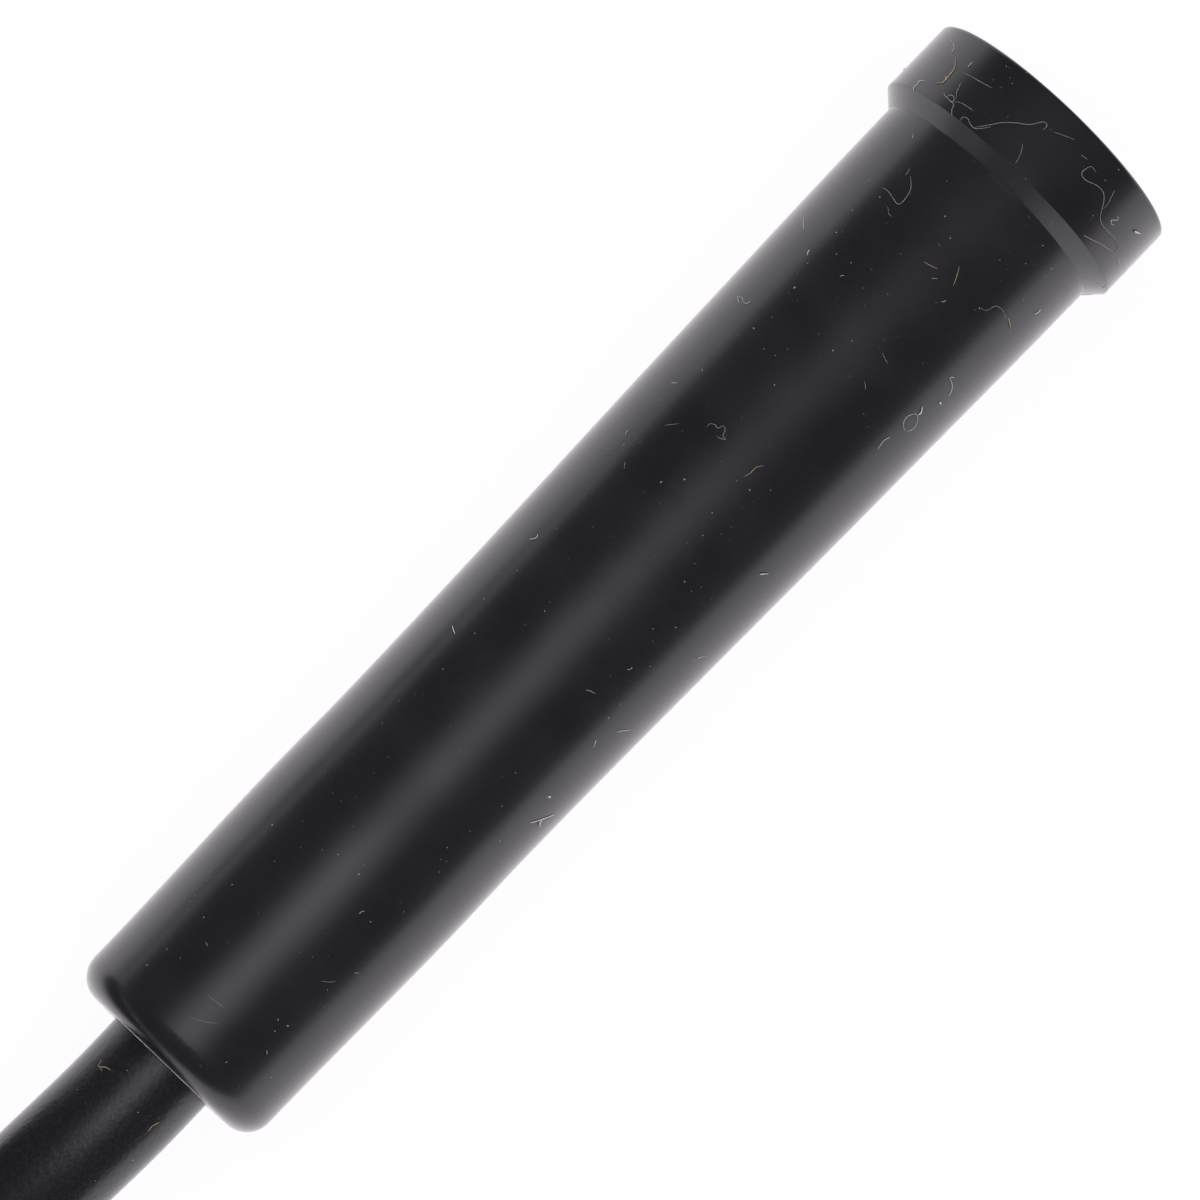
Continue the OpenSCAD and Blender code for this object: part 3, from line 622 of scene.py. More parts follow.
def grip_skin(grip):
    """Outside of the grip's outline: rounded end, long side, bevel and collar, up to the rim."""
    bevel = COLLAR_R - grip.neck_r
    collar_at = HANDLE_LENGTH - grip.collar_length
    a = np.radians(np.linspace(0, 90, 16))
    tail = np.stack([grip.tail_round * (1 - np.cos(a)),
                     grip.tail_r - grip.tail_round * (1 - np.sin(a))], axis=-1)
    side_at = np.linspace(grip.tail_round, collar_at - bevel - 2 * grip.edge_round, 150)[1:]
    side = np.stack([side_at, grip_side(grip, side_at)], axis=-1)
    collar = rounded([(*side[-1], 0), (collar_at - bevel, grip.neck_r, 1.2 * grip.edge_round),
                      (collar_at, COLLAR_R, grip.edge_round), (HANDLE_LENGTH, COLLAR_R, 0)])[1:]
    return np.concatenate([tail, side, collar])


def grip_outline(grip):
    """Closed outline of the grip: cord hole, end face, skin, rim, mouth and stepped bore."""
    edge = grip.edge_round
    skin = grip_skin(grip)
    end_face = rounded([(grip.end_wall, grip.cord_hole_r, 0), (0, grip.cord_hole_r, edge), (*skin[0], 0)])
    mouth = rounded([
        (*skin[-2], 0), (HANDLE_LENGTH, COLLAR_R, 2.2 * edge),
        (HANDLE_LENGTH, grip.head_bore_r + grip.mouth_bevel, edge / 2),
        (HANDLE_LENGTH - grip.mouth_bevel, grip.head_bore_r, edge / 2),
        (grip.head_at, grip.head_bore_r, 0),
        (grip.head_at, grip.tube_bore_r, 0),
        (grip.end_wall, grip.tube_bore_r, 0),
    ])[1:]
    return np.concatenate([end_face[:-1], skin[:-1], mouth])


def skin_waves(grip, s, r, a):
    """Radius of the moulded skin: the outline's, plus a few slow waves round and along the handle."""
    along = s / HANDLE_LENGTH * FULL_TURN
    waves = (np.sin(2 * a + 1.1 * along) + 0.6 * np.sin(3 * a - 2.3 * along + 1.0)
             + 0.5 * np.sin(a + 4.7 * along + 2.0))
    outside = (r > grip.head_bore_r * 0.98) & (s < HANDLE_LENGTH - grip.collar_length)
    return r + np.where(outside, grip.waviness * waves / 2, 0.0)


class SHUTTER_RELEASE_OT_grip(Operator):
    """Make the soft grip with its collar"""

    bl_idname = "shutter_release.grip"
    bl_label = "Soft grip"

    def execute(self, context):
        grip = context.scene.release_grip
        grid = revolve(grip_outline(grip), HANDLE_AXIS, columns=240,
                       radius_at=lambda s, r, a: skin_waves(grip, s, r, a))
        make_piece("soft_grip", [closed_surface(grid, closed=True)],
                   moulded_rubber(context.scene.release_finishes), HANDLE, ["grip_sleeve"])
        return {"FINISHED"}


class SHUTTER_RELEASE_OT_button(Operator):
    """Make the bezel and the push button in the collar"""

    bl_idname = "shutter_release.button"
    bl_label = "Button and bezel"

    def execute(self, context):
        sizes, tone = context.scene.release_button, context.scene.release_finishes.button
        rim = HANDLE_LENGTH
        face, bezel_face = rim - sizes.face_depth, rim - sizes.bezel_depth
        bevel, crisp = sizes.bezel_bevel, 0.05 * MM
        bezel = rounded([
            (rim - sizes.flange_depth, sizes.bezel_r, 0),
            (bezel_face - bevel, sizes.bezel_r, crisp), (bezel_face, sizes.bezel_r - bevel, crisp),
            (bezel_face, sizes.bezel_hole_r + bevel, crisp), (bezel_face - bevel, sizes.bezel_hole_r, crisp),
            (rim - sizes.spigot_depth, sizes.bezel_hole_r, 0), (rim - sizes.spigot_depth, sizes.spigot_r, 0),
            (rim - sizes.flange_depth, sizes.spigot_r, 0),
        ])
        make_piece("bezel_ring", [closed_surface(revolve(bezel, HANDLE_AXIS, columns=160), closed=True)],
                   satin_moulding("abs_bezel_moulded", tone, 0.1, 0.004, 0.34, 0.44), HANDLE,
                   ["button_bezel"])
        dish_r = sizes.face_r - 2 * sizes.edge_round
        ball_r = (dish_r**2 + sizes.dish_depth**2) / (2 * sizes.dish_depth)
        reach = np.linspace(0.02, 1, 24) * dish_r
        dish = np.stack([face - sizes.dish_depth + ball_r - np.sqrt(ball_r**2 - reach**2), reach], axis=-1)
        shoulder, skirt_end = rim - sizes.shoulder_depth, rim - sizes.skirt_depth
        under_roof, socket_floor = face - sizes.dish_depth - sizes.roof, rim - sizes.socket_depth
        body = rounded([
            (*dish[-1], 0), (face, dish_r + 0.5 * sizes.edge_round, 0),
            (face, sizes.face_r, sizes.edge_round), (shoulder, sizes.face_r, 0),
            (shoulder, sizes.skirt_r, crisp), (skirt_end, sizes.skirt_r, crisp),
            (skirt_end, sizes.skirt_bore_r, crisp), (under_roof, sizes.skirt_bore_r, 0),
            (under_roof, sizes.boss_r, 0), (skirt_end, sizes.boss_r, crisp),
            (skirt_end, sizes.socket_r, crisp), (socket_floor, sizes.socket_r, 0),
            (socket_floor, 0.05 * MM, 0),
        ])
        grid = revolve(np.concatenate([dish[:-1], body]), HANDLE_AXIS, columns=160)
        make_piece("button_cap", [closed_surface(grid)],
                   satin_moulding("abs_button_moulded", tone, 0.12, 0.006, 0.36, 0.48), BUTTON,
                   ["push_button"])
        return {"FINISHED"}


class SHUTTER_RELEASE_OT_return_spring(Operator):
    """Wind the return spring"""

    bl_idname = "shutter_release.return_spring"
    bl_label = "Return spring"

    def execute(self, context):
        spring = context.scene.release_spring
        low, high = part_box("return_spring")
        length = high.x - low.x
        turn = np.linspace(0, spring.turns, int(spring.turns * 40) + 1)
        # One closed turn at each end, and even turns between them
        closed = 2.1 * spring.wire_r
        rise = np.interp(turn, [0, 1, spring.turns - 1, spring.turns],
                         [0, closed, length - 2 * spring.wire_r - closed, length - 2 * spring.wire_r])
        a = FULL_TURN * turn
        path = np.stack([low.x + spring.wire_r + rise, HANDLE_AXIS[1] + spring.coil_r * np.sin(a),
                         HANDLE_AXIS[2] + spring.coil_r * np.cos(a)], axis=-1)
        steel = turned_metal("spring_steel_drawn", linear("#a9abb0"), 0.12, 0.2, 0.32)
        piece = make_piece("return_coil", [closed_surface(tube(path, spring.wire_r, 12, (1, 0, 0)))], steel,
                           HANDLE, ["return_spring"])
        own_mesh(piece)
        return {"FINISHED"}


# ---------------------------------------------------------------------------------------------
# The cord


# Points of the lead: distance from the grip and drift to +Y in millimetres, and the
# share of the fall to the surface that is still to come. The tail's count from the coil's end.
LEAD_POINTS = [(0, 0, 1), (2.5, 0, 1), (5, 0.1, 0.98), (8, 0.25, 0.89), (11.5, 0.38, 0.7),
               (15, 0.5, 0.45), (18.5, 0.62, 0.21), (22, 0.73, 0.05), (25, 0.82, 0)]
TAIL_POINTS = [(0, 0, 1), (3, 0.09, 0.98), (6, 0.17, 0.87), (9.5, 0.24, 0.65), (13, 0.29, 0.38),
               (16.5, 0.32, 0.16), (20, 0.33, 0.03), (24, 0.33, 0)]


def coil_points(cord, start):
    """Points of the stored coil, whose first turn starts level at start and runs towards -X.

    It winds in on the surface by one pitch a turn, climbs one layer in the half turn about its
    middle, where the spiral reverses, and winds out again on top.
    """
    pitch = 2 * CORD_R + cord.turn_gap
    half = cord.coil_turns / 2
    outer_r = cord.coil_diameter / 2 + pitch * half / 2
    slant = math.atan(pitch / (FULL_TURN * outer_r))
    begin_at = start + 2 * CORD_R * np.array([-math.cos(slant), math.sin(slant), 0])
    turn = np.linspace(0, cord.coil_turns, int(cord.coil_turns * 48) + 1)
    r = outer_r - pitch * np.minimum(turn, cord.coil_turns - turn)
    climb = np.clip((turn - half + 0.25) * 2, 0, 1)
    angle = -math.pi / 2 - FULL_TURN * turn
    wound = np.stack([r * np.cos(angle), outer_r + r * np.sin(angle),
                      pitch * climb**2 * (3 - 2 * climb)], axis=-1) + begin_at
    end = wound[-1] + 2 * CORD_R * np.array([math.cos(slant), math.sin(slant), 0])
    return np.concatenate([wound, end[None]])


def cord_route(cord):
    """Centreline of the whole free cord, from the grip to the plug, at even steps.

    The points of lead, coil and tail are joined by cubics over the distance along their chords,
    with a slope at each point that weighs its two chords by nearness. A ring just inside each end
    keeps the end caps from turning the side's shading.
    """
    low_z = CORD_R + cord.lift
    lead = np.array(LEAD_POINTS) * [MM, MM, 1]
    lead = np.stack([CORD_FACE - lead[:, 0], lead[:, 1],
                     low_z + (HANDLE_AXIS[2] - low_z) * lead[:, 2]], axis=-1)
    coil = coil_points(cord, lead[-1])
    tail = np.array(TAIL_POINTS) * [MM, MM, 1]
    tail = np.stack([coil[-1, 0] + tail[:, 0], coil[-1, 1] + tail[:, 1],
                     PLUG_AXIS[2] + (coil[-1, 2] - PLUG_AXIS[2]) * tail[:, 2]], axis=-1)
    points = np.concatenate([lead, coil, tail[1:]])
    chord = np.linalg.norm(np.diff(points, axis=0), axis=1)[:, None]
    run = np.concatenate([[0], np.cumsum(chord)])
    slope = np.diff(points, axis=0) / chord
    inner = (slope[1:] * chord[:-1] + slope[:-1] * chord[1:]) / (chord[1:] + chord[:-1])
    slopes = np.concatenate([slope[:1], inner, slope[-1:]])
    at = np.linspace(0, run[-1], round(run[-1] / cord.step) + 1)
    beside_ends = [0.02 * cord.step, run[-1] - 0.02 * cord.step]
    return hermite(run, points, slopes, np.sort(np.concatenate([at, beside_ends])))


class SHUTTER_RELEASE_OT_cord(Operator):
    """Make the free cord: lead, stored coil and tail in one length"""

    bl_idname = "shutter_release.cord"
    bl_label = "Cord"

    def execute(self, context):
        cord = context.scene.release_cord
        jacket = grained_jacket(context.scene.release_finishes)
        route = cord_route(cord)
        piece = make_piece("cord", [closed_surface(tube(route, CORD_R, cord.sides))], jacket, HANDLE,
                           ["cord_lead", "cord_coil", "cord_tail"])
        dress(jacket, "cord_inner_end", "plug_cord_end")
        return {"FINISHED"}


# ---------------------------------------------------------------------------------------------
# The plug


# Gap that keeps neighbouring pieces of the plug apart
PLUG_GAP = 0.02 * MM
# Distance over which a flute fades in
FLUTE_FADE = 0.5 * MM


def boot_outline(plug):
    """Closed outline of the boot: a slow taper cut by even grooves, a neck and an inner flange."""
    soft = 0.12 * MM
    first_groove, flange = 1.4 * MM, 1.2 * MM
    neck_end = plug.boot_end + plug.shell_wall_end + PLUG_GAP
    flange_end = neck_end + flange
    corners = [(plug.boot_at, plug.boot_hole_r, 0), (plug.boot_at, plug.boot_small_r, 2 * soft)]

    def taper(at):
        share = (at - plug.boot_at) / (plug.boot_end - plug.boot_at)
        return plug.boot_small_r + (plug.boot_large_r - plug.boot_small_r) * share

    for k in range(plug.grooves):
        start = plug.boot_at + first_groove + k * plug.groove_pitch
        end = start + plug.groove_width
        floor_r = taper(start) - plug.groove_depth
        corners += [(start, taper(start), soft), (start, floor_r, soft),
                    (end, floor_r, soft), (end, taper(end), soft)]
    corners += [(plug.boot_end - PLUG_GAP, plug.boot_large_r, soft),
                (plug.boot_end - PLUG_GAP, plug.boot_neck_r, 0), (neck_end, plug.boot_neck_r, 0),
                (neck_end, plug.boot_flange_r, 0), (flange_end, plug.boot_flange_r, 0),
                (flange_end, plug.boot_hole_r, 0)]
    return rounded(corners)


def shell_outline(plug):
    """Closed outline of the shell: rear wall, bevels, straight side, nose and bore."""
    crisp, rear_bevel, front_bevel = 0.1 * MM, 0.5 * MM, 1.0 * MM
    start, end = plug.boot_end, plug.shell_end
    inner_r = plug.boot_neck_r + PLUG_GAP
    hub_hole_r = plug.hub_r + PLUG_GAP
    outline = rounded([
        (start, inner_r, 0), (start, plug.shell_r - rear_bevel, crisp),
        (start + rear_bevel, plug.shell_r, crisp), (end - front_bevel, plug.shell_r, 4 * crisp),
        (end, plug.shell_r - front_bevel, 2 * crisp),
        (end, hub_hole_r, 0), (end - plug.shell_nose, hub_hole_r, 0),
        (end - plug.shell_nose, plug.shell_bore_r, 0), (start + plug.shell_wall_end, plug.shell_bore_r, 0),
        (start + plug.shell_wall_end, inner_r, 0),
    ])
    long_way = 5 * MM
    straight = np.where(np.diff(outline[:, 0]) > long_way)[0][0]
    finer = np.linspace(outline[straight], outline[straight + 1], 90)[1:-1]
    return np.concatenate([outline[:straight + 1], finer, outline[straight + 1:]])


def fluted(plug, s, r, a):
    """Radius of the shell with its flutes.

    A flute is a cylinder of radius f whose axis stands c from the shell's, so at an angle b from
    its middle the surface lies at c cos b - sqrt(f^2 - c^2 sin^2 b). It fades in over FLUTE_FADE.
    """
    c = plug.shell_r + plug.flute_r - plug.flute_sink
    spread = FULL_TURN / plug.flutes
    b = (a + spread / 2) % spread - spread / 2
    inside = np.clip(plug.flute_r**2 - (c * np.sin(b)) ** 2, 0, None)
    cut = np.where(inside > 0, np.clip(plug.shell_r - (c * np.cos(b) - np.sqrt(inside)), 0, None), 0)
    start, end = plug.boot_end + plug.flute_margin, plug.shell_end - plug.flute_margin
    share = np.clip(np.minimum(s - start, end - s) / FLUTE_FADE, 0, 1)
    share = share * share * (3 - 2 * share)
    return r - np.where(r > plug.shell_r - 1e-7, cut * share, 0)


class SHUTTER_RELEASE_OT_boot_and_shell(Operator):
    """Make the plug's flexible boot and its fluted shell"""

    bl_idname = "shutter_release.boot_and_shell"
    bl_label = "Boot and shell"

    def execute(self, context):
        plug, tone = context.scene.release_plug, context.scene.release_finishes.moulding
        grid = revolve(boot_outline(plug), PLUG_AXIS, columns=144)
        make_piece("cord_boot", [closed_surface(grid, closed=True)],
                   satin_moulding("pvc_boot_moulded", tone, 0.12, 0.008, 0.42, 0.52), HANDLE,
                   ["plug_boot"])
        grid = revolve(shell_outline(plug), PLUG_AXIS, columns=480,
                       radius_at=lambda s, r, a: fluted(plug, s, r, a))
        make_piece("fluted_shell", [closed_surface(grid, closed=True)],
                   satin_moulding("abs_shell_moulded", tone, 0.1, 0.005, 0.3, 0.42), HANDLE,
                   ["plug_shell"])
        return {"FINISHED"}


def turned_part(name, corners, material, node, poles=False):
    """A turned or moulded part of the pin, from its outline's corners in the plug's own distances."""
    grid = revolve(rounded(corners, steps=5), PLUG_AXIS, columns=96)
    return make_piece(name, [closed_surface(grid, closed=not poles)], material, HANDLE, [node])


class SHUTTER_RELEASE_OT_pin(Operator):
    """Make the plug's pin: three nickelled contacts and two insulating bands"""

    bl_idname = "shutter_release.pin"
    bl_label = "Pin"

    def execute(self, context):
        plug = context.scene.release_plug
        tone = context.scene.release_finishes.nickel
        nickel = turned_metal("nickel_on_turned_brass", tone, 0.08, 0.14, 0.26)
        band = satin_moulding("pbt_insulator_moulded", linear("#121213"), 0.08, 0.003, 0.3, 0.4)
        crisp, gap, wall, step = 0.04 * MM, PLUG_GAP, 0.2 * MM, 0.8 * MM
        hub_length, stem_r, nose_r = 2.6 * MM, 0.3 * MM, 0.35 * MM
        hub_at = plug.shell_end - hub_length
        stem_at = hub_at - 4.5 * step
        inner_r = stem_r + gap + wall
        middle_r = inner_r + gap + wall
        outer_r = middle_r + gap + wall
        band_r = plug.pin_r - 0.015 * MM
        turned_part("pin_sleeve", [
            (hub_at, outer_r + gap, 0), (hub_at, plug.hub_r, 0), (plug.shell_end + gap, plug.hub_r, 0),
            (plug.shell_end + gap, plug.shoulder_r, 2 * crisp),
            (plug.shoulder_end, plug.shoulder_r, 3 * crisp),
            (plug.shoulder_end, plug.pin_r, crisp), (plug.sleeve_end, plug.pin_r, crisp),
            (plug.sleeve_end, outer_r + gap, 0),
        ], nickel, "plug_sleeve_contact")
        layers = [
            ("pin_rear_band", middle_r + gap, outer_r, hub_at - step, plug.sleeve_end, plug.ring_at, band_r,
             band, "plug_rear_insulator", "pin_insulator"),
            ("pin_ring", inner_r + gap, middle_r, hub_at - 2 * step, plug.ring_at, plug.ring_end, plug.pin_r,
             nickel, "plug_ring_contact", "pin_nickel"),
            ("pin_front_band", stem_r + gap, inner_r, hub_at - 3 * step, plug.ring_end, plug.tip_at, band_r,
             band, "plug_front_insulator", "pin_insulator"),
        ]
        for name, hole_r, tube_r, tail, start, end, outer, material, node, slot in layers:
            turned_part(name, [
                (tail, hole_r, 0), (tail, tube_r, 0), (start, tube_r, 0), (start, outer, crisp),
                (end, outer, crisp), (end, hole_r, 0),
            ], material, node)
        collar_end, waist_at = plug.tip_at + 0.2 * MM, plug.tip_at + 0.7 * MM
        crown_at, crown_end = plug.tip_at + 1.4 * MM, plug.tip_at + 1.7 * MM
        turned_part("pin_tip", [
            (stem_at, 0.05 * MM, 0), (stem_at, stem_r, 0), (plug.tip_at, stem_r, 0),
            (plug.tip_at, plug.pin_r, crisp), (collar_end, plug.pin_r, 3 * crisp),
            (waist_at, plug.pin_r - 0.4 * MM, 6 * crisp), (crown_at, plug.pin_r, 3 * crisp),
            (crown_end, plug.pin_r, 6 * crisp), (plug.pin_end, nose_r, 5 * crisp),
            (plug.pin_end, 0.02 * MM, 0),
        ], nickel, "plug_tip_contact", poles=True)
        return {"FINISHED"}


# ---------------------------------------------------------------------------------------------
# Lint and dust


# Fibres that lie on the skin: the width against the fibre radius, and then for each point its
# distance from the cord end in millimetres, on the cord where it is below 0, and its angle from
# the top in degrees.
PALE_FIBRES = [
    (1.0, 50.45, 44, 50.51, 39, 50.56, 34, 50.63, 29),
    (0.9, 51.04, 44, 50.89, 44, 50.75, 44),
    (1.0, 51.38, 66, 51.31, 61, 51.15, 58, 50.93, 57),
    (1.0, 49.34, 57, 49.24, 59, 49.06, 59, 48.88, 59, 48.75, 58),
    (1.3, 49.35, 44, 49.25, 42, 49.21, 39, 49.16, 36, 48.95, 35, 48.74, 33),
    (1.2, 49.27, 41, 49.41, 40, 49.39, 38, 49.21, 37, 49.16, 39),
    (0.9, 49.25, 37, 49.37, 35, 49.43, 31, 49.44, 28),
    (0.9, 50.12, 41, 49.88, 40, 49.63, 39, 49.41, 37),
    (1.0, 48.80, 29, 48.98, 29, 49.05, 27, 48.94, 25, 48.94, 22, 49.37, 18),
    (1.0, 48.92, 23, 49.42, 19, 49.83, 16, 50.19, 12, 50.49, 8, 50.94, 5, 50.93, 3, 50.70, 3),
    (0.7, 50.92, -0, 51.11, -4, 51.31, -8),
    (0.8, 49.74, 5, 49.41, 3, 49.11, 2, 48.95, 2),
    (1.0, 51.03, -23, 51.05, -20, 50.85, -19, 50.57, -19, 50.51, -22, 50.71, -27, 50.72, -31, 50.50, -34,
     49.98, -38, 49.87, -43, 49.97, -51, 49.89, -57, 49.64, -58, 49.55, -55),
    (0.8, 51.14, -34, 50.83, -35, 50.58, -36, 50.31, -36),
    (1.0, 50.60, -44, 50.48, -45, 50.30, -43, 50.20, -44, 50.27, -46),
    (4.4, 50.83, -57, 50.90, -59, 50.98, -61),
    (0.8, 49.72, -63, 49.59, -66, 49.64, -71, 49.84, -80),
    (0.8, 48.47, -73, 48.58, -73, 48.64, -78, 48.76, -76, 48.94, -76),
    (0.8, 51.06, -14, 51.09, -15, 51.13, -17),
    (1.1, 45.92, 32, 45.70, 29, 45.43, 27, 44.95, 26, 44.72, 27, 44.77, 30, 44.89, 35, 44.86, 39),
    (1.2, 43.41, -6, 43.50, -7, 43.56, -8),
    (0.8, 44.04, -31, 44.15, -34, 44.55, -36, 44.67, -40, 44.59, -44, 44.60, -47),
    (1.5, 45.97, -58, 45.82, -58, 45.65, -57),
    (1.6, 43.04, -16, 43.13, -17, 43.22, -17),
    (0.7, 44.40, 30, 44.29, 28, 44.19, 27, 44.18, 25),
    (0.9, 47.41, 47, 47.23, 45),
    (0.8, 46.17, 35, 46.00, 34, 45.81, 34),
    (0.7, 31.91, 36, 32.09, 34, 32.33, 31),
    (0.9, 32.91, 20, 33.12, 20, 33.23, 18, 33.20, 16, 33.42, 15, 33.34, 13, 33.12, 12, 33.08, 10, 32.97,
     12, 32.93, 14),
    (1.1, 33.46, 51, 33.51, 49, 33.60, 48),
    (0.8, 29.81, 38, 29.67, 37, 29.56, 36),
    (1.3, 24.98, 49, 25.08, 47, 25.24, 46, 25.34, 47),
    (2.2, 30.32, -47, 30.50, -49, 30.62, -51),
    (0.9, 26.27, -59, 26.43, -60, 26.63, -64),
    (1.6, 23.84, -31, 23.93, -32, 24.05, -32),
    (1.7, 20.38, 47, 20.29, 45, 20.18, 42),
    (1.4, 22.09, -23, 22.19, -25, 22.26, -28),
    (1.1, 21.90, -54, 22.09, -56, 22.37, -61),
    (1.9, 16.89, -55, 17.08, -57, 17.33, -60, 17.60, -63, 17.87, -66),
    (2.6, 17.33, -60, 17.14, -61, 17.08, -64),
    (4.0, 18.10, -50.4, 18.14, -50.8, 18.18, -51.2),
    (0.9, 38.56, -49, 38.61, -46, 38.88, -44, 39.15, -45, 39.32, -47, 39.24, -50, 39.02, -52, 38.76, -52,
     38.58, -50),
    (2.2, 39.36, -48, 39.52, -48, 39.69, -46),
    (0.9, 37.20, -45, 37.43, -44, 37.65, -44, 37.90, -45),
    (1.1, 41.46, -48, 41.31, -46, 41.21, -50, 41.03, -53, 40.80, -54),
    (2.8, 40.36, -52, 40.37, -53, 40.38, -54),
    (0.8, 21.05, -47, 20.90, -48, 20.76, -49),
    (1.1, 42.18, 65, 41.91, 61, 41.67, 57),
    (1.3, 41.10, 44, 40.99, 44, 40.87, 43),
    (1.0, 37.70, 55, 37.87, 58, 37.92, 55, 37.80, 52, 37.85, 50, 38.00, 49),
    (0.8, 39.92, -13, 39.84, -15, 39.77, -18),
    (0.7, 38.61, -16, 38.50, -18, 38.39, -19),
    (1.3, 40.97, 23, 41.05, 23, 41.14, 22),
    (1.5, 9.49, -19, 9.63, -19, 9.73, -20),
    (0.7, 6.55, -29, 6.75, -32, 6.96, -35),
    (1.4, 7.73, -39, 7.80, -40, 7.84, -41),
    (1.1, 4.52, 24, 4.50, 23, 4.48, 22),
    (1.1, 3.15, -34, 3.08, -35, 3.04, -36),
    (1.1, -1.61, 45, -1.70, 43, -1.83, 42, -1.90, 34),
    (0.55, 1.95, 5, 2.25, -2, 2.57, -7),
    (0.55, 3.09, 6, 3.12, 1, 3.17, -4),
]
GOLDEN_FIBRES = [
    (1.7, 50.85, 53, 50.46, 49, 50.05, 48, 49.84, 48, 49.63, 48, 49.46, 51),
    (1.5, 49.95, 47, 49.91, 49, 49.83, 47),
    (1.2, 49.00, -38, 49.19, -43, 49.40, -49, 49.61, -57),
    (0.9, 43.68, 1, 43.75, -2, 43.85, -5),
    (1.0, 44.54, -11, 44.22, -13, 43.84, -15),
    (1.3, 44.68, -46, 44.56, -49, 44.48, -52),
    (0.9, 32.51, -7, 32.80, -8, 33.12, -8, 33.37, -10),
    (1.2, 30.90, 50, 30.77, 50, 30.65, 49),
    (1.5, -1.88, 43, -1.82, 38, -1.69, 34, -1.64, 28),
    (1.3, -1.77, -40, -1.98, -38, -2.15, -37, -2.36, -38),
]
# Angle from the top, in degrees, beyond which the fibres of PALE_FIBRES take a lighter tone: painted light
# for the brighter light that falls on fibres over the flanks
FLANK = 43
# Width of a loose fibre against the fibre radius
LOOSE_WIDTH = 0.9
# Larger dust specks: distance in millimetres, angle in degrees and size.
SPECKS = [
    (9.7, 42, 2.2), (8.5, 51, 1.6), (6.9, 35, 1.6), (5.2, 34, 1.6), (10.6, 7, 1.5), (10.6, -6, 2.0),
    (11.0, -5, 1.2), (4.3, -27, 1.5), (4.4, -33, 2.0), (1.7, -23, 1.3), (2.5, -48, 1.6), (6.4, 64, 2.0),
    (7.4, 62, 1.5), (5.6, 47, 1.3), (5.3, 47, 1.3), (5.0, 44, 1.2), (3.3, 37, 1.4), (6.7, 51, 1.4),
    (9.6, -26, 1.3), (6.5, -35, 1.2), (7.6, -65, 1.4), (7.9, -54, 1.3), (8.7, 27, 1.0), (10.3, 14, 1.1),
    (9.8, 22, 0.9), (3.4, 28, 1.1), (10.8, -35, 1.2), (22.0, 44, 1.5), (23.2, 16, 1.5), (20.7, 34, 1.2),
    (22.0, -43, 1.7), (22.7, -42, 1.2), (18.1, -50, 2.0), (15.5, -48, 1.6), (14.2, -51, 1.3),
    (13.8, -28, 1.3), (12.9, -34, 1.2), (16.5, -34, 1.3), (17.8, -27, 1.2), (15.6, 37, 1.1),
    (14.7, 54, 1.2), (16.7, 39, 1.0), (18.8, 33, 1.1), (17.1, -4, 0.9), (16.5, -64, 1.3), (14.9, -31, 1.1),
    (13.3, -30, 1.0), (13.4, -33, 1.1), (30.1, 18, 2.0), (30.8, 11, 1.9), (32.6, 49, 1.5), (30.3, 46, 1.6),
    (29.8, 52, 1.4), (29.7, -12, 1.4), (26.4, -34, 1.4), (25.7, -26, 1.3), (28.2, -64, 1.5),
    (30.8, -58, 1.5), (32.3, -13, 1.5), (32.9, -20, 1.2), (30.6, -8, 1.2), (27.9, -21, 1.4),
    (26.1, -58, 1.9), (24.6, -39, 1.2), (23.7, 41, 1.2), (26.0, 41, 1.1), (36.0, 11, 1.4), (32.2, -6, 1.1),
    (39.5, 36, 2.2), (42.3, 40, 1.7), (40.6, 40, 1.6), (41.6, 32, 1.4), (41.7, 24, 1.4), (37.2, 37, 1.7),
    (38.0, 34, 1.2), (34.6, 42, 1.8), (38.6, 3, 1.6), (39.4, 0, 1.4), (36.8, 26, 1.2), (36.6, 41, 1.2),
    (44.5, 36, 1.6), (43.4, 42, 1.3), (36.9, 20, 1.0), (44.8, 47, 1.0), (51.8, -29, 1.5), (51.1, -28, 1.3),
    (49.8, -35, 1.2), (45.1, -0, 1.4), (47.3, -44, 1.5), (47.6, -32, 1.5), (46.6, -32, 1.2),
    (47.8, -65, 1.3), (44.0, -31, 1.7), (46.9, -45, 1.1), (51.9, -45, 1.3), (51.9, -55, 1.3),
    (51.7, 31, 1.1), (51.3, 24, 1.0), (52.0, 23, 1.0), (48.7, 44, 1.2), (51.8, 57, 1.3), (46.7, 18, 1.0),
    (45.6, 8, 1.5), (48.4, -26, 1.1), (45.6, -45, 1.1), (46.4, -66, 1.1), (44.4, -53, 1.3), (48.8, -5, 1.1),
    (48.8, -53, 1.1), (45.9, -22, 1.0), (3.9, -30, 1.3), (3.1, -35, 1.2), (2.3, 39, 1.6), (4.5, 23, 1.4),
    (0.6, -62, 1.5), (-3.6, -51, 1.6), (-5.2, -37, 1.5), (-5.9, -24, 1.6), (-2.1, -17, 1.4), (-0.0, 3, 1.5),
    (-3.1, 40, 1.3), (-1.2, 17, 1.1),
]


def skin_point(skin, route, s, a, lift):
    """Points that stand lift over the skin at the distances s and angles a, and their outward ways.

    A point is (x, y + R sin a, z + R cos a), where x counts from the cord end, and y, z and R are
    the handle's axis and outline, or the cord's middle and radius where s < 0.
    """
    back = CORD_FACE - route[:, 0]
    y, z = np.interp(-s, back, route[:, 1]), np.interp(-s, back, route[:, 2])
    radius = np.where(s < 0, CORD_R, np.interp(s, skin[:, 0], skin[:, 1])) + lift
    way = np.stack([0 * s, np.sin(a), np.cos(a)], axis=-1)
    return np.stack([CORD_FACE + s, y, z], axis=-1) + radius[..., None] * way, way


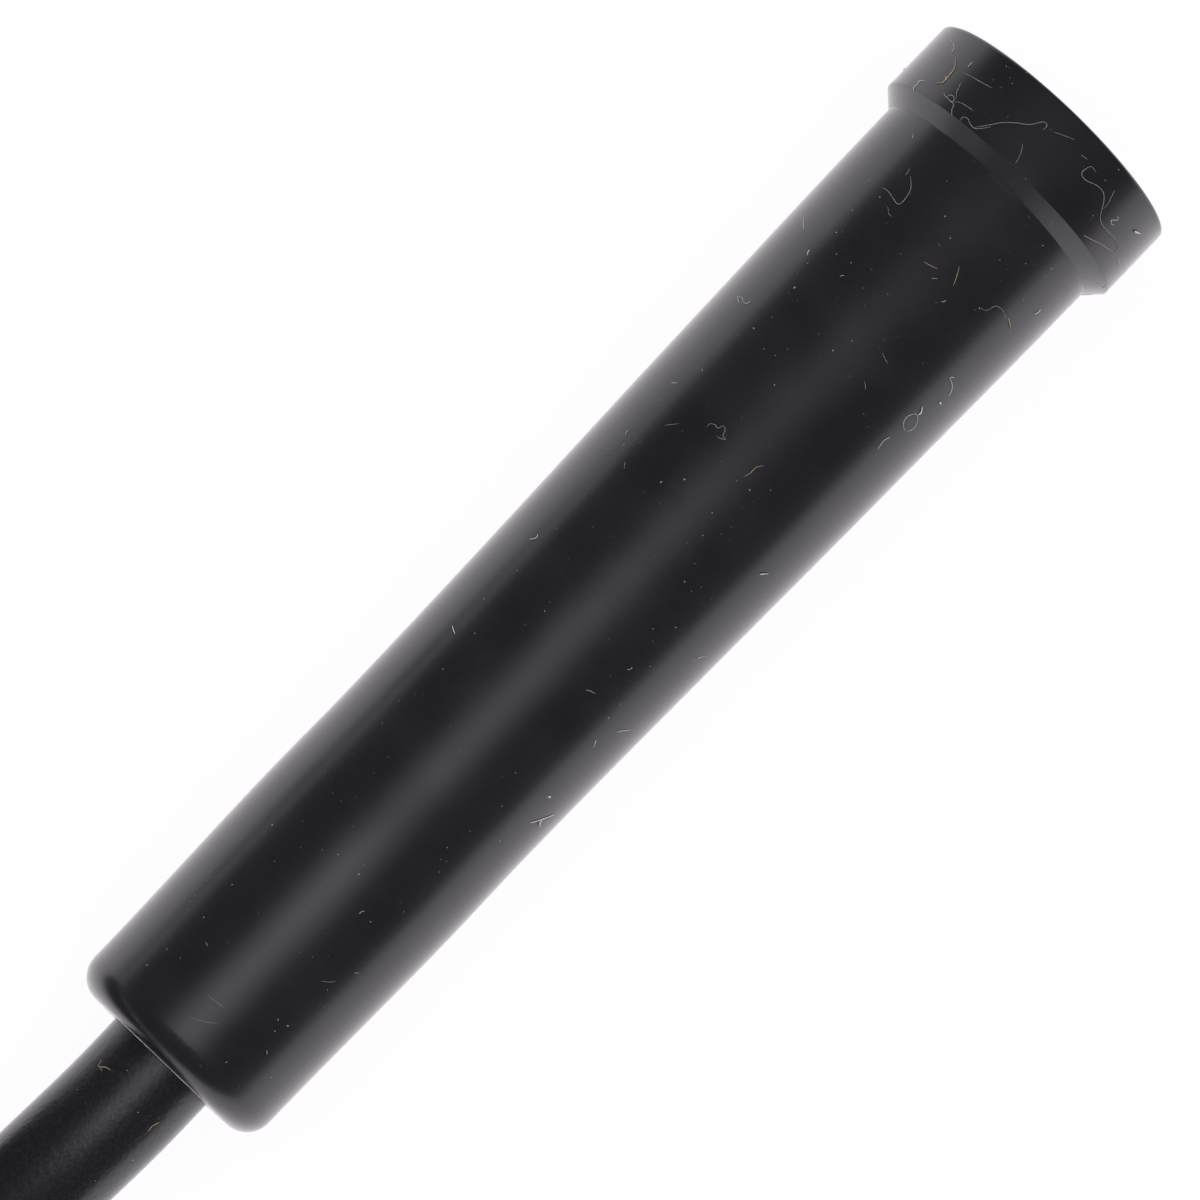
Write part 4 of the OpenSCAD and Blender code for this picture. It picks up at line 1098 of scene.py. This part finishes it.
def fibre(skin, route, points, radius, arch, steps=4):
    """Closed tube of a fibre through points (s, a) of the skin.

    It is a cubic through them that stands off by arch |sin| in a few low waves, and thins to a
    third at its ends.
    """
    at = np.arange(len(points), dtype=float)
    u = np.linspace(0, at[-1], steps * (len(points) - 1) + 1)
    s, a = hermite(at, points, np.gradient(points, axis=0), u).T
    share = u / at[-1]
    lift = radius * 1.3 + arch * np.abs(np.sin(math.pi * share * (len(points) - 1) / 2))
    path, way = skin_point(skin, route, s, a, lift)
    thin = radius * (1 - 0.66 * np.abs(2 * share - 1) ** 6)
    return closed_surface(tube(path, thin, 5, way))


def scattered(count, chance):
    """Points (s, a) of loose fibres on the handle's underside: arcs whose heading turns evenly.

    Each has five points, 1/4 of its length apart, and they are denser towards the collar. The
    steps round the handle are angles at mean_r.
    """
    lint = bpy.context.scene.release_lint
    first_angle, angles, mean_r = math.radians(96), math.radians(168), 5 * MM
    length = lint.shortest + (lint.longest - lint.shortest) * chance.random(count) ** 2
    s = HANDLE_LENGTH * (0.03 + 0.94 * chance.random(count) ** 0.7)
    a = first_angle + angles * chance.random(count)
    heading, turn = chance.random(count) * FULL_TURN, chance.normal(0, 0.7, count)
    k = np.arange(5)
    way = heading[:, None] + turn[:, None] * k
    ds = np.cumsum(np.cos(way), axis=1) * length[:, None] / 4
    da = np.cumsum(np.sin(way), axis=1) * length[:, None] / 4 / mean_r
    s = np.clip(s[:, None] + ds, 1.3 * MM, HANDLE_LENGTH - 0.2 * MM)
    return np.stack([s, a[:, None] + da], axis=-1)


def specks(skin, route, places, sizes, chance):
    """Surfaces of flat crumbs of dust, as one set of arrays.

    A crumb is a third as high as wide. At latitude p and longitude q it is (cos p cos q w,
    cos p sin q / w, sin p / 3) times its size, turned about the skin's outward way.
    """
    middle, out = skin_point(skin, route, *places.T, 0 * sizes)
    turn = chance.random(len(sizes)) * FULL_TURN
    along, round_ = np.array([1.0, 0, 0]), np.cross(out, [1.0, 0, 0])
    first = np.cos(turn)[:, None] * along + np.sin(turn)[:, None] * round_
    second = np.cross(out, first)
    stretch = 1 + 0.5 * chance.random(len(sizes))
    p = np.radians([-60, -5, 45])[:, None]
    q = (np.arange(6) * FULL_TURN / 6)[None]
    shape = np.stack([np.cos(p) * np.cos(q), np.cos(p) * np.sin(q), np.sin(p) / 3 + 0 * q], axis=-1)
    points, quads, triangles = closed_surface(shape)
    widths = np.stack([stretch, 1 / stretch, 0 * stretch + 1], axis=-1)
    points = points * sizes[:, None, None] * widths[:, None]
    points = (middle[:, None] + points[..., :1] * first[:, None] + points[..., 1:2] * second[:, None]
              + points[..., 2:] * out[:, None])
    step = (np.arange(len(sizes)) * points.shape[1])[:, None, None]
    return points.reshape(-1, 3), (quads + step).reshape(-1, 4), (triangles + step).reshape(-1, 3)


class SHUTTER_RELEASE_OT_lint(Operator):
    """Lay lint and dust on the handle's skin and the cord next to it"""

    bl_idname = "shutter_release.lint"
    bl_label = "Lint and dust"

    def execute(self, context):
        lint, tones = context.scene.release_lint, context.scene.release_finishes
        chance = np.random.default_rng(lint.seed)
        skin = grip_skin(context.scene.release_grip)
        stations_near_grip = 60
        route = cord_route(context.scene.release_cord)[:stations_near_grip]
        loose = scattered(lint.fibres, chance)
        on_top = [row for row in PALE_FIBRES if abs(np.mean(row[2::2])) <= FLANK]
        on_flanks = [row for row in PALE_FIBRES if abs(np.mean(row[2::2])) > FLANK]
        kinds = (
            ("lint_pale", "cotton_fibre", tones.pale_lint, [*loose[::4], *loose[1::4], *loose[2::4]],
             on_top),
            # Fibres on the flanks: the cotton painted lighter, as painted light where the flanks are lit
            ("lint_painted_light_flanks", "cotton_fibre_painted_lit", tones.flank_lint_painted_light, [], on_flanks),
            ("lint_golden", "jute_fibre", tones.golden_lint, loose[3::4], GOLDEN_FIBRES),
        )
        for name, cloth, tone, strays, table in kinds:
            rows = [(width, np.reshape(flat, (-1, 2)) * [MM, math.pi / 180]) for width, *flat in table]
            rows += [(LOOSE_WIDTH, points) for points in strays]
            tubes = [fibre(skin, route, points, lint.fibre_r * width, lint.arch * (k % 3) / 2)
                     for k, (width, points) in enumerate(rows)]
            make_piece(name, tubes, lint_fibre(cloth, tone), HANDLE)
        large = np.array(SPECKS)
        s = HANDLE_LENGTH * (0.02 + 0.96 * chance.random(lint.specks) ** 0.8)
        a = FULL_TURN * chance.random(lint.specks)
        places = np.concatenate([large[:, :2] * [MM, math.pi / 180], np.stack([s, a], axis=-1)])
        fine = 0.3 + 0.6 * chance.random(lint.specks) ** 2
        sizes = np.concatenate([lint.speck_r * large[:, 2], lint.speck_r * fine])
        make_piece("dust_specks", [specks(skin, route, places, sizes, chance)],
                   dust_crumb(tones.dust), HANDLE)
        return {"FINISHED"}


# ---------------------------------------------------------------------------------------------
# Inside and stage


class SHUTTER_RELEASE_OT_inner_parts(Operator):
    """Give the switch parts inside the handle and the plug their finishes"""

    bl_idname = "shutter_release.inner_parts"
    bl_label = "Inner parts"

    def execute(self, context):
        brass = context.scene.release_finishes.brass
        dress(satin_moulding("abs_housing_moulded", linear("#1d1d20"), 0.15, 0.006, 0.4, 0.5),
              "switch_housing")
        dress(satin_moulding("acetal_rod_turned", linear("#e6e3d8"), 0.2, 0.004, 0.3, 0.42), "plunger")
        dress(turned_metal("brass_turned", brass, 0.08, 0.2, 0.34), "contact_ring", "guide_bush",
              "cord_ferrule")
        dress(turned_metal("phosphor_bronze_rolled", linear("#c79a58"), 0.2, 0.22, 0.36),
              "common_contact", "focus_contact", "release_contact")
        dress(turned_metal("steel_zinc_plated", linear("#b4b6ba"), 0.1, 0.28, 0.42), "carrier_screw",
              "retaining_clip")
        dress(turned_metal("tin_solder_reflowed", linear("#b0b2b6"), 0.5, 0.3, 0.5), "solder_beads")
        dress(layered_phenolic(), "contact_carrier")
        cores = {"black": ("#17171a", "common_wire", "plug_common_wire"),
                 "white": ("#e2e2de", "focus_wire", "plug_focus_wire"),
                 "red": ("#a81f19", "release_wire", "plug_release_wire")}
        for tone, (code, *nodes) in cores.items():
            dress(satin_moulding(f"pvc_core_{tone}_extruded", linear(code), 0.3, 0.004, 0.35, 0.48), *nodes)
        return {"FINISHED"}


class SHUTTER_RELEASE_OT_stage(Operator):
    """Set up the camera, the pale floor and the soft light"""

    bl_idname = "shutter_release.stage"
    bl_label = "Stage"

    def execute(self, context):
        scene, stage = context.scene, context.scene.release_stage
        self.camera(scene, stage)
        self.floor(scene, stage)
        self.lamps(scene, stage)
        self.world(scene, stage)
        scene.view_settings.view_transform = "Standard"
        return {"FINISHED"}

    def camera(self, scene, stage):
        """Camera over the handle, leaning back towards the cord, its picture rolled so that the
        handle runs up to the right."""
        axis_z = float(HANDLE_AXIS[2])
        eye = Vector((-stage.eye_back, stage.side, axis_z + stage.eye_height))
        aim = Vector((-stage.aim_back, stage.side, axis_z))
        back = (eye - aim).normalized()
        along = (Vector((1, 0, 0)) - back.x * back).normalized()
        across = back.cross(along)
        right = math.cos(stage.roll) * along - math.sin(stage.roll) * across
        up = math.sin(stage.roll) * along + math.cos(stage.roll) * across
        data = bpy.data.cameras.new("camera")
        data.lens = stage.lens
        data.sensor_width = 36.0
        data.clip_start, data.clip_end = 0.01, 10.0
        camera = bpy.data.objects.new("camera", data)
        scene.collection.objects.link(camera)
        camera.matrix_world = Matrix.Translation(eye) @ Matrix((right, up, back)).transposed().to_4x4()
        scene.camera = camera

    def floor(self, scene, stage):
        """Round pale floor. Seen or mirrored it is nearly all its own white, and the rest of it
        takes the light, which keeps a faint shadow. To other rays it is a plain pale surface."""
        rings = np.array([1e-4, 0.05, 0.2, 0.6, 1.0]) * stage.floor_r
        a = np.arange(96) * FULL_TURN / 96
        grid = np.stack([rings[:, None] * np.cos(a), rings[:, None] * np.sin(a), 0 * rings[:, None] + 0 * a],
                        axis=-1)
        material, tree, shader, _ = begin("paper_backdrop_matte")
        shader.inputs["Base Color"].default_value = rgba(stage.id_data.release_finishes.floor)
        shader.inputs["Roughness"].default_value = 1.0
        shader.inputs["Specular IOR Level"].default_value = 0.0
        rays = add(tree, "LightPath").outputs
        seen = maths(tree, "MAXIMUM", rays["Is Camera Ray"], rays["Is Glossy Ray"])
        seen = maths(tree, "MAXIMUM", seen, rays["Is Transmission Ray"])
        own_white = 0.955
        share = maths(tree, "MULTIPLY", seen, own_white)
        white = add(tree, "Emission", {"Color": (1, 1, 1, 1), "Strength": 1.0})
        both = add(tree, "MixShader", {0: share, 1: shader.outputs[0], 2: white.outputs[0]})
        output = next(n for n in tree.nodes if n.type == "OUTPUT_MATERIAL")
        tree.links.new(both.outputs[0], output.inputs["Surface"])
        mesh = bpy.data.meshes.new("floor")
        faces = grid_faces(len(rings), len(a), False)
        mesh.from_pydata(grid.reshape(-1, 3), [], [*faces[:, ::-1].tolist(), list(range(len(a)))])
        mesh.materials.append(material)
        floor = bpy.data.objects.new("floor", mesh)
        scene.collection.objects.link(floor)

    def lamps(self, scene, stage):
        """Strip lamp across the handle over its cord end, so its highlight fades to the collar, and
        a large fill lamp that lights evenly but shows in no gloss."""
        lamps = (("strip_lamp", -stage.lamp_behind, stage.lamp_height, stage.lamp_width,
                  stage.lamp_length, stage.lamp_power, stage.lamp_spread, True),
                 ("fill_lamp", 0.0, stage.fill_height, stage.fill_size, stage.fill_size,
                  stage.fill_power, math.pi, False))
        for name, x, z, width, length, power, spread, glossy in lamps:
            data = bpy.data.lights.new(name, "AREA")
            data.shape = "ELLIPSE"
            data.size, data.size_y, data.energy, data.spread = width, length, power, spread
            lamp = bpy.data.objects.new(name, data)
            scene.collection.objects.link(lamp)
            lamp.matrix_world = Matrix.Translation((x, 0.0, z))
            lamp.visible_camera = False
            lamp.visible_glossy = glossy

    def world(self, scene, stage):
        """Room that is white by the horizon, where it meets the floor, and dim overhead."""
        world = bpy.data.worlds.new("studio")
        world.use_nodes = True
        scene.world = world
        tree = world.node_tree
        tree.nodes.clear()
        up = add(tree, "SeparateXYZ", {"Vector": add(tree, "TexCoord").outputs["Generated"]}).outputs["Z"]
        white_up_to, dim_from = 0.085, 0.11
        fade = ramp(tree, up, white_up_to, dim_from, 1.0, stage.ceiling, "SMOOTHSTEP")
        light = add(tree, "Background", {"Color": (1, 1, 1, 1), "Strength": fade})
        add(tree, "OutputWorld", {"Surface": light.outputs[0]})


class VIEW3D_PT_shutter_release(Panel):
    """Sizes and finishes of the shutter release, and the steps that build it"""

    bl_label = "Shutter release"
    bl_space_type = "VIEW_3D"
    bl_region_type = "UI"
    bl_category = "Shutter release"

    def draw(self, context):
        for name in PROPERTY_GROUPS:
            group = getattr(context.scene, name)
            box = self.layout.box()
            box.label(text=name.removeprefix("release_").capitalize())
            for key in group.bl_rna.properties.keys():
                if key not in ("rna_type", "name"):
                    box.prop(group, key)
        for step in STEPS:
            self.layout.operator(step.bl_idname)


PROPERTY_GROUPS = {
    "release_grip": GripSizes,
    "release_button": ButtonSizes,
    "release_spring": SpringSizes,
    "release_cord": CordSizes,
    "release_plug": PlugSizes,
    "release_lint": LintSizes,
    "release_finishes": Finishes,
    "release_stage": StageSettings,
}
# The order in which the steps run
STEPS = (
    SHUTTER_RELEASE_OT_stage,
    SHUTTER_RELEASE_OT_boot_and_shell,
    SHUTTER_RELEASE_OT_pin,
    SHUTTER_RELEASE_OT_cord,
    SHUTTER_RELEASE_OT_grip,
    SHUTTER_RELEASE_OT_button,
    SHUTTER_RELEASE_OT_return_spring,
    SHUTTER_RELEASE_OT_lint,
    SHUTTER_RELEASE_OT_inner_parts,
)
CLASSES = (*PROPERTY_GROUPS.values(), *STEPS, VIEW3D_PT_shutter_release)


def register():
    for made in CLASSES:
        bpy.utils.register_class(made)
    for name, group in PROPERTY_GROUPS.items():
        setattr(bpy.types.Scene, name, PointerProperty(type=group))


def unregister():
    for name in PROPERTY_GROUPS:
        delattr(bpy.types.Scene, name)
    for made in reversed(CLASSES):
        bpy.utils.unregister_class(made)


def main():
    register()
    for step in STEPS:
        group, name = step.bl_idname.split(".")
        getattr(getattr(bpy.ops, group), name)()


if __name__ == "__main__":
    main()
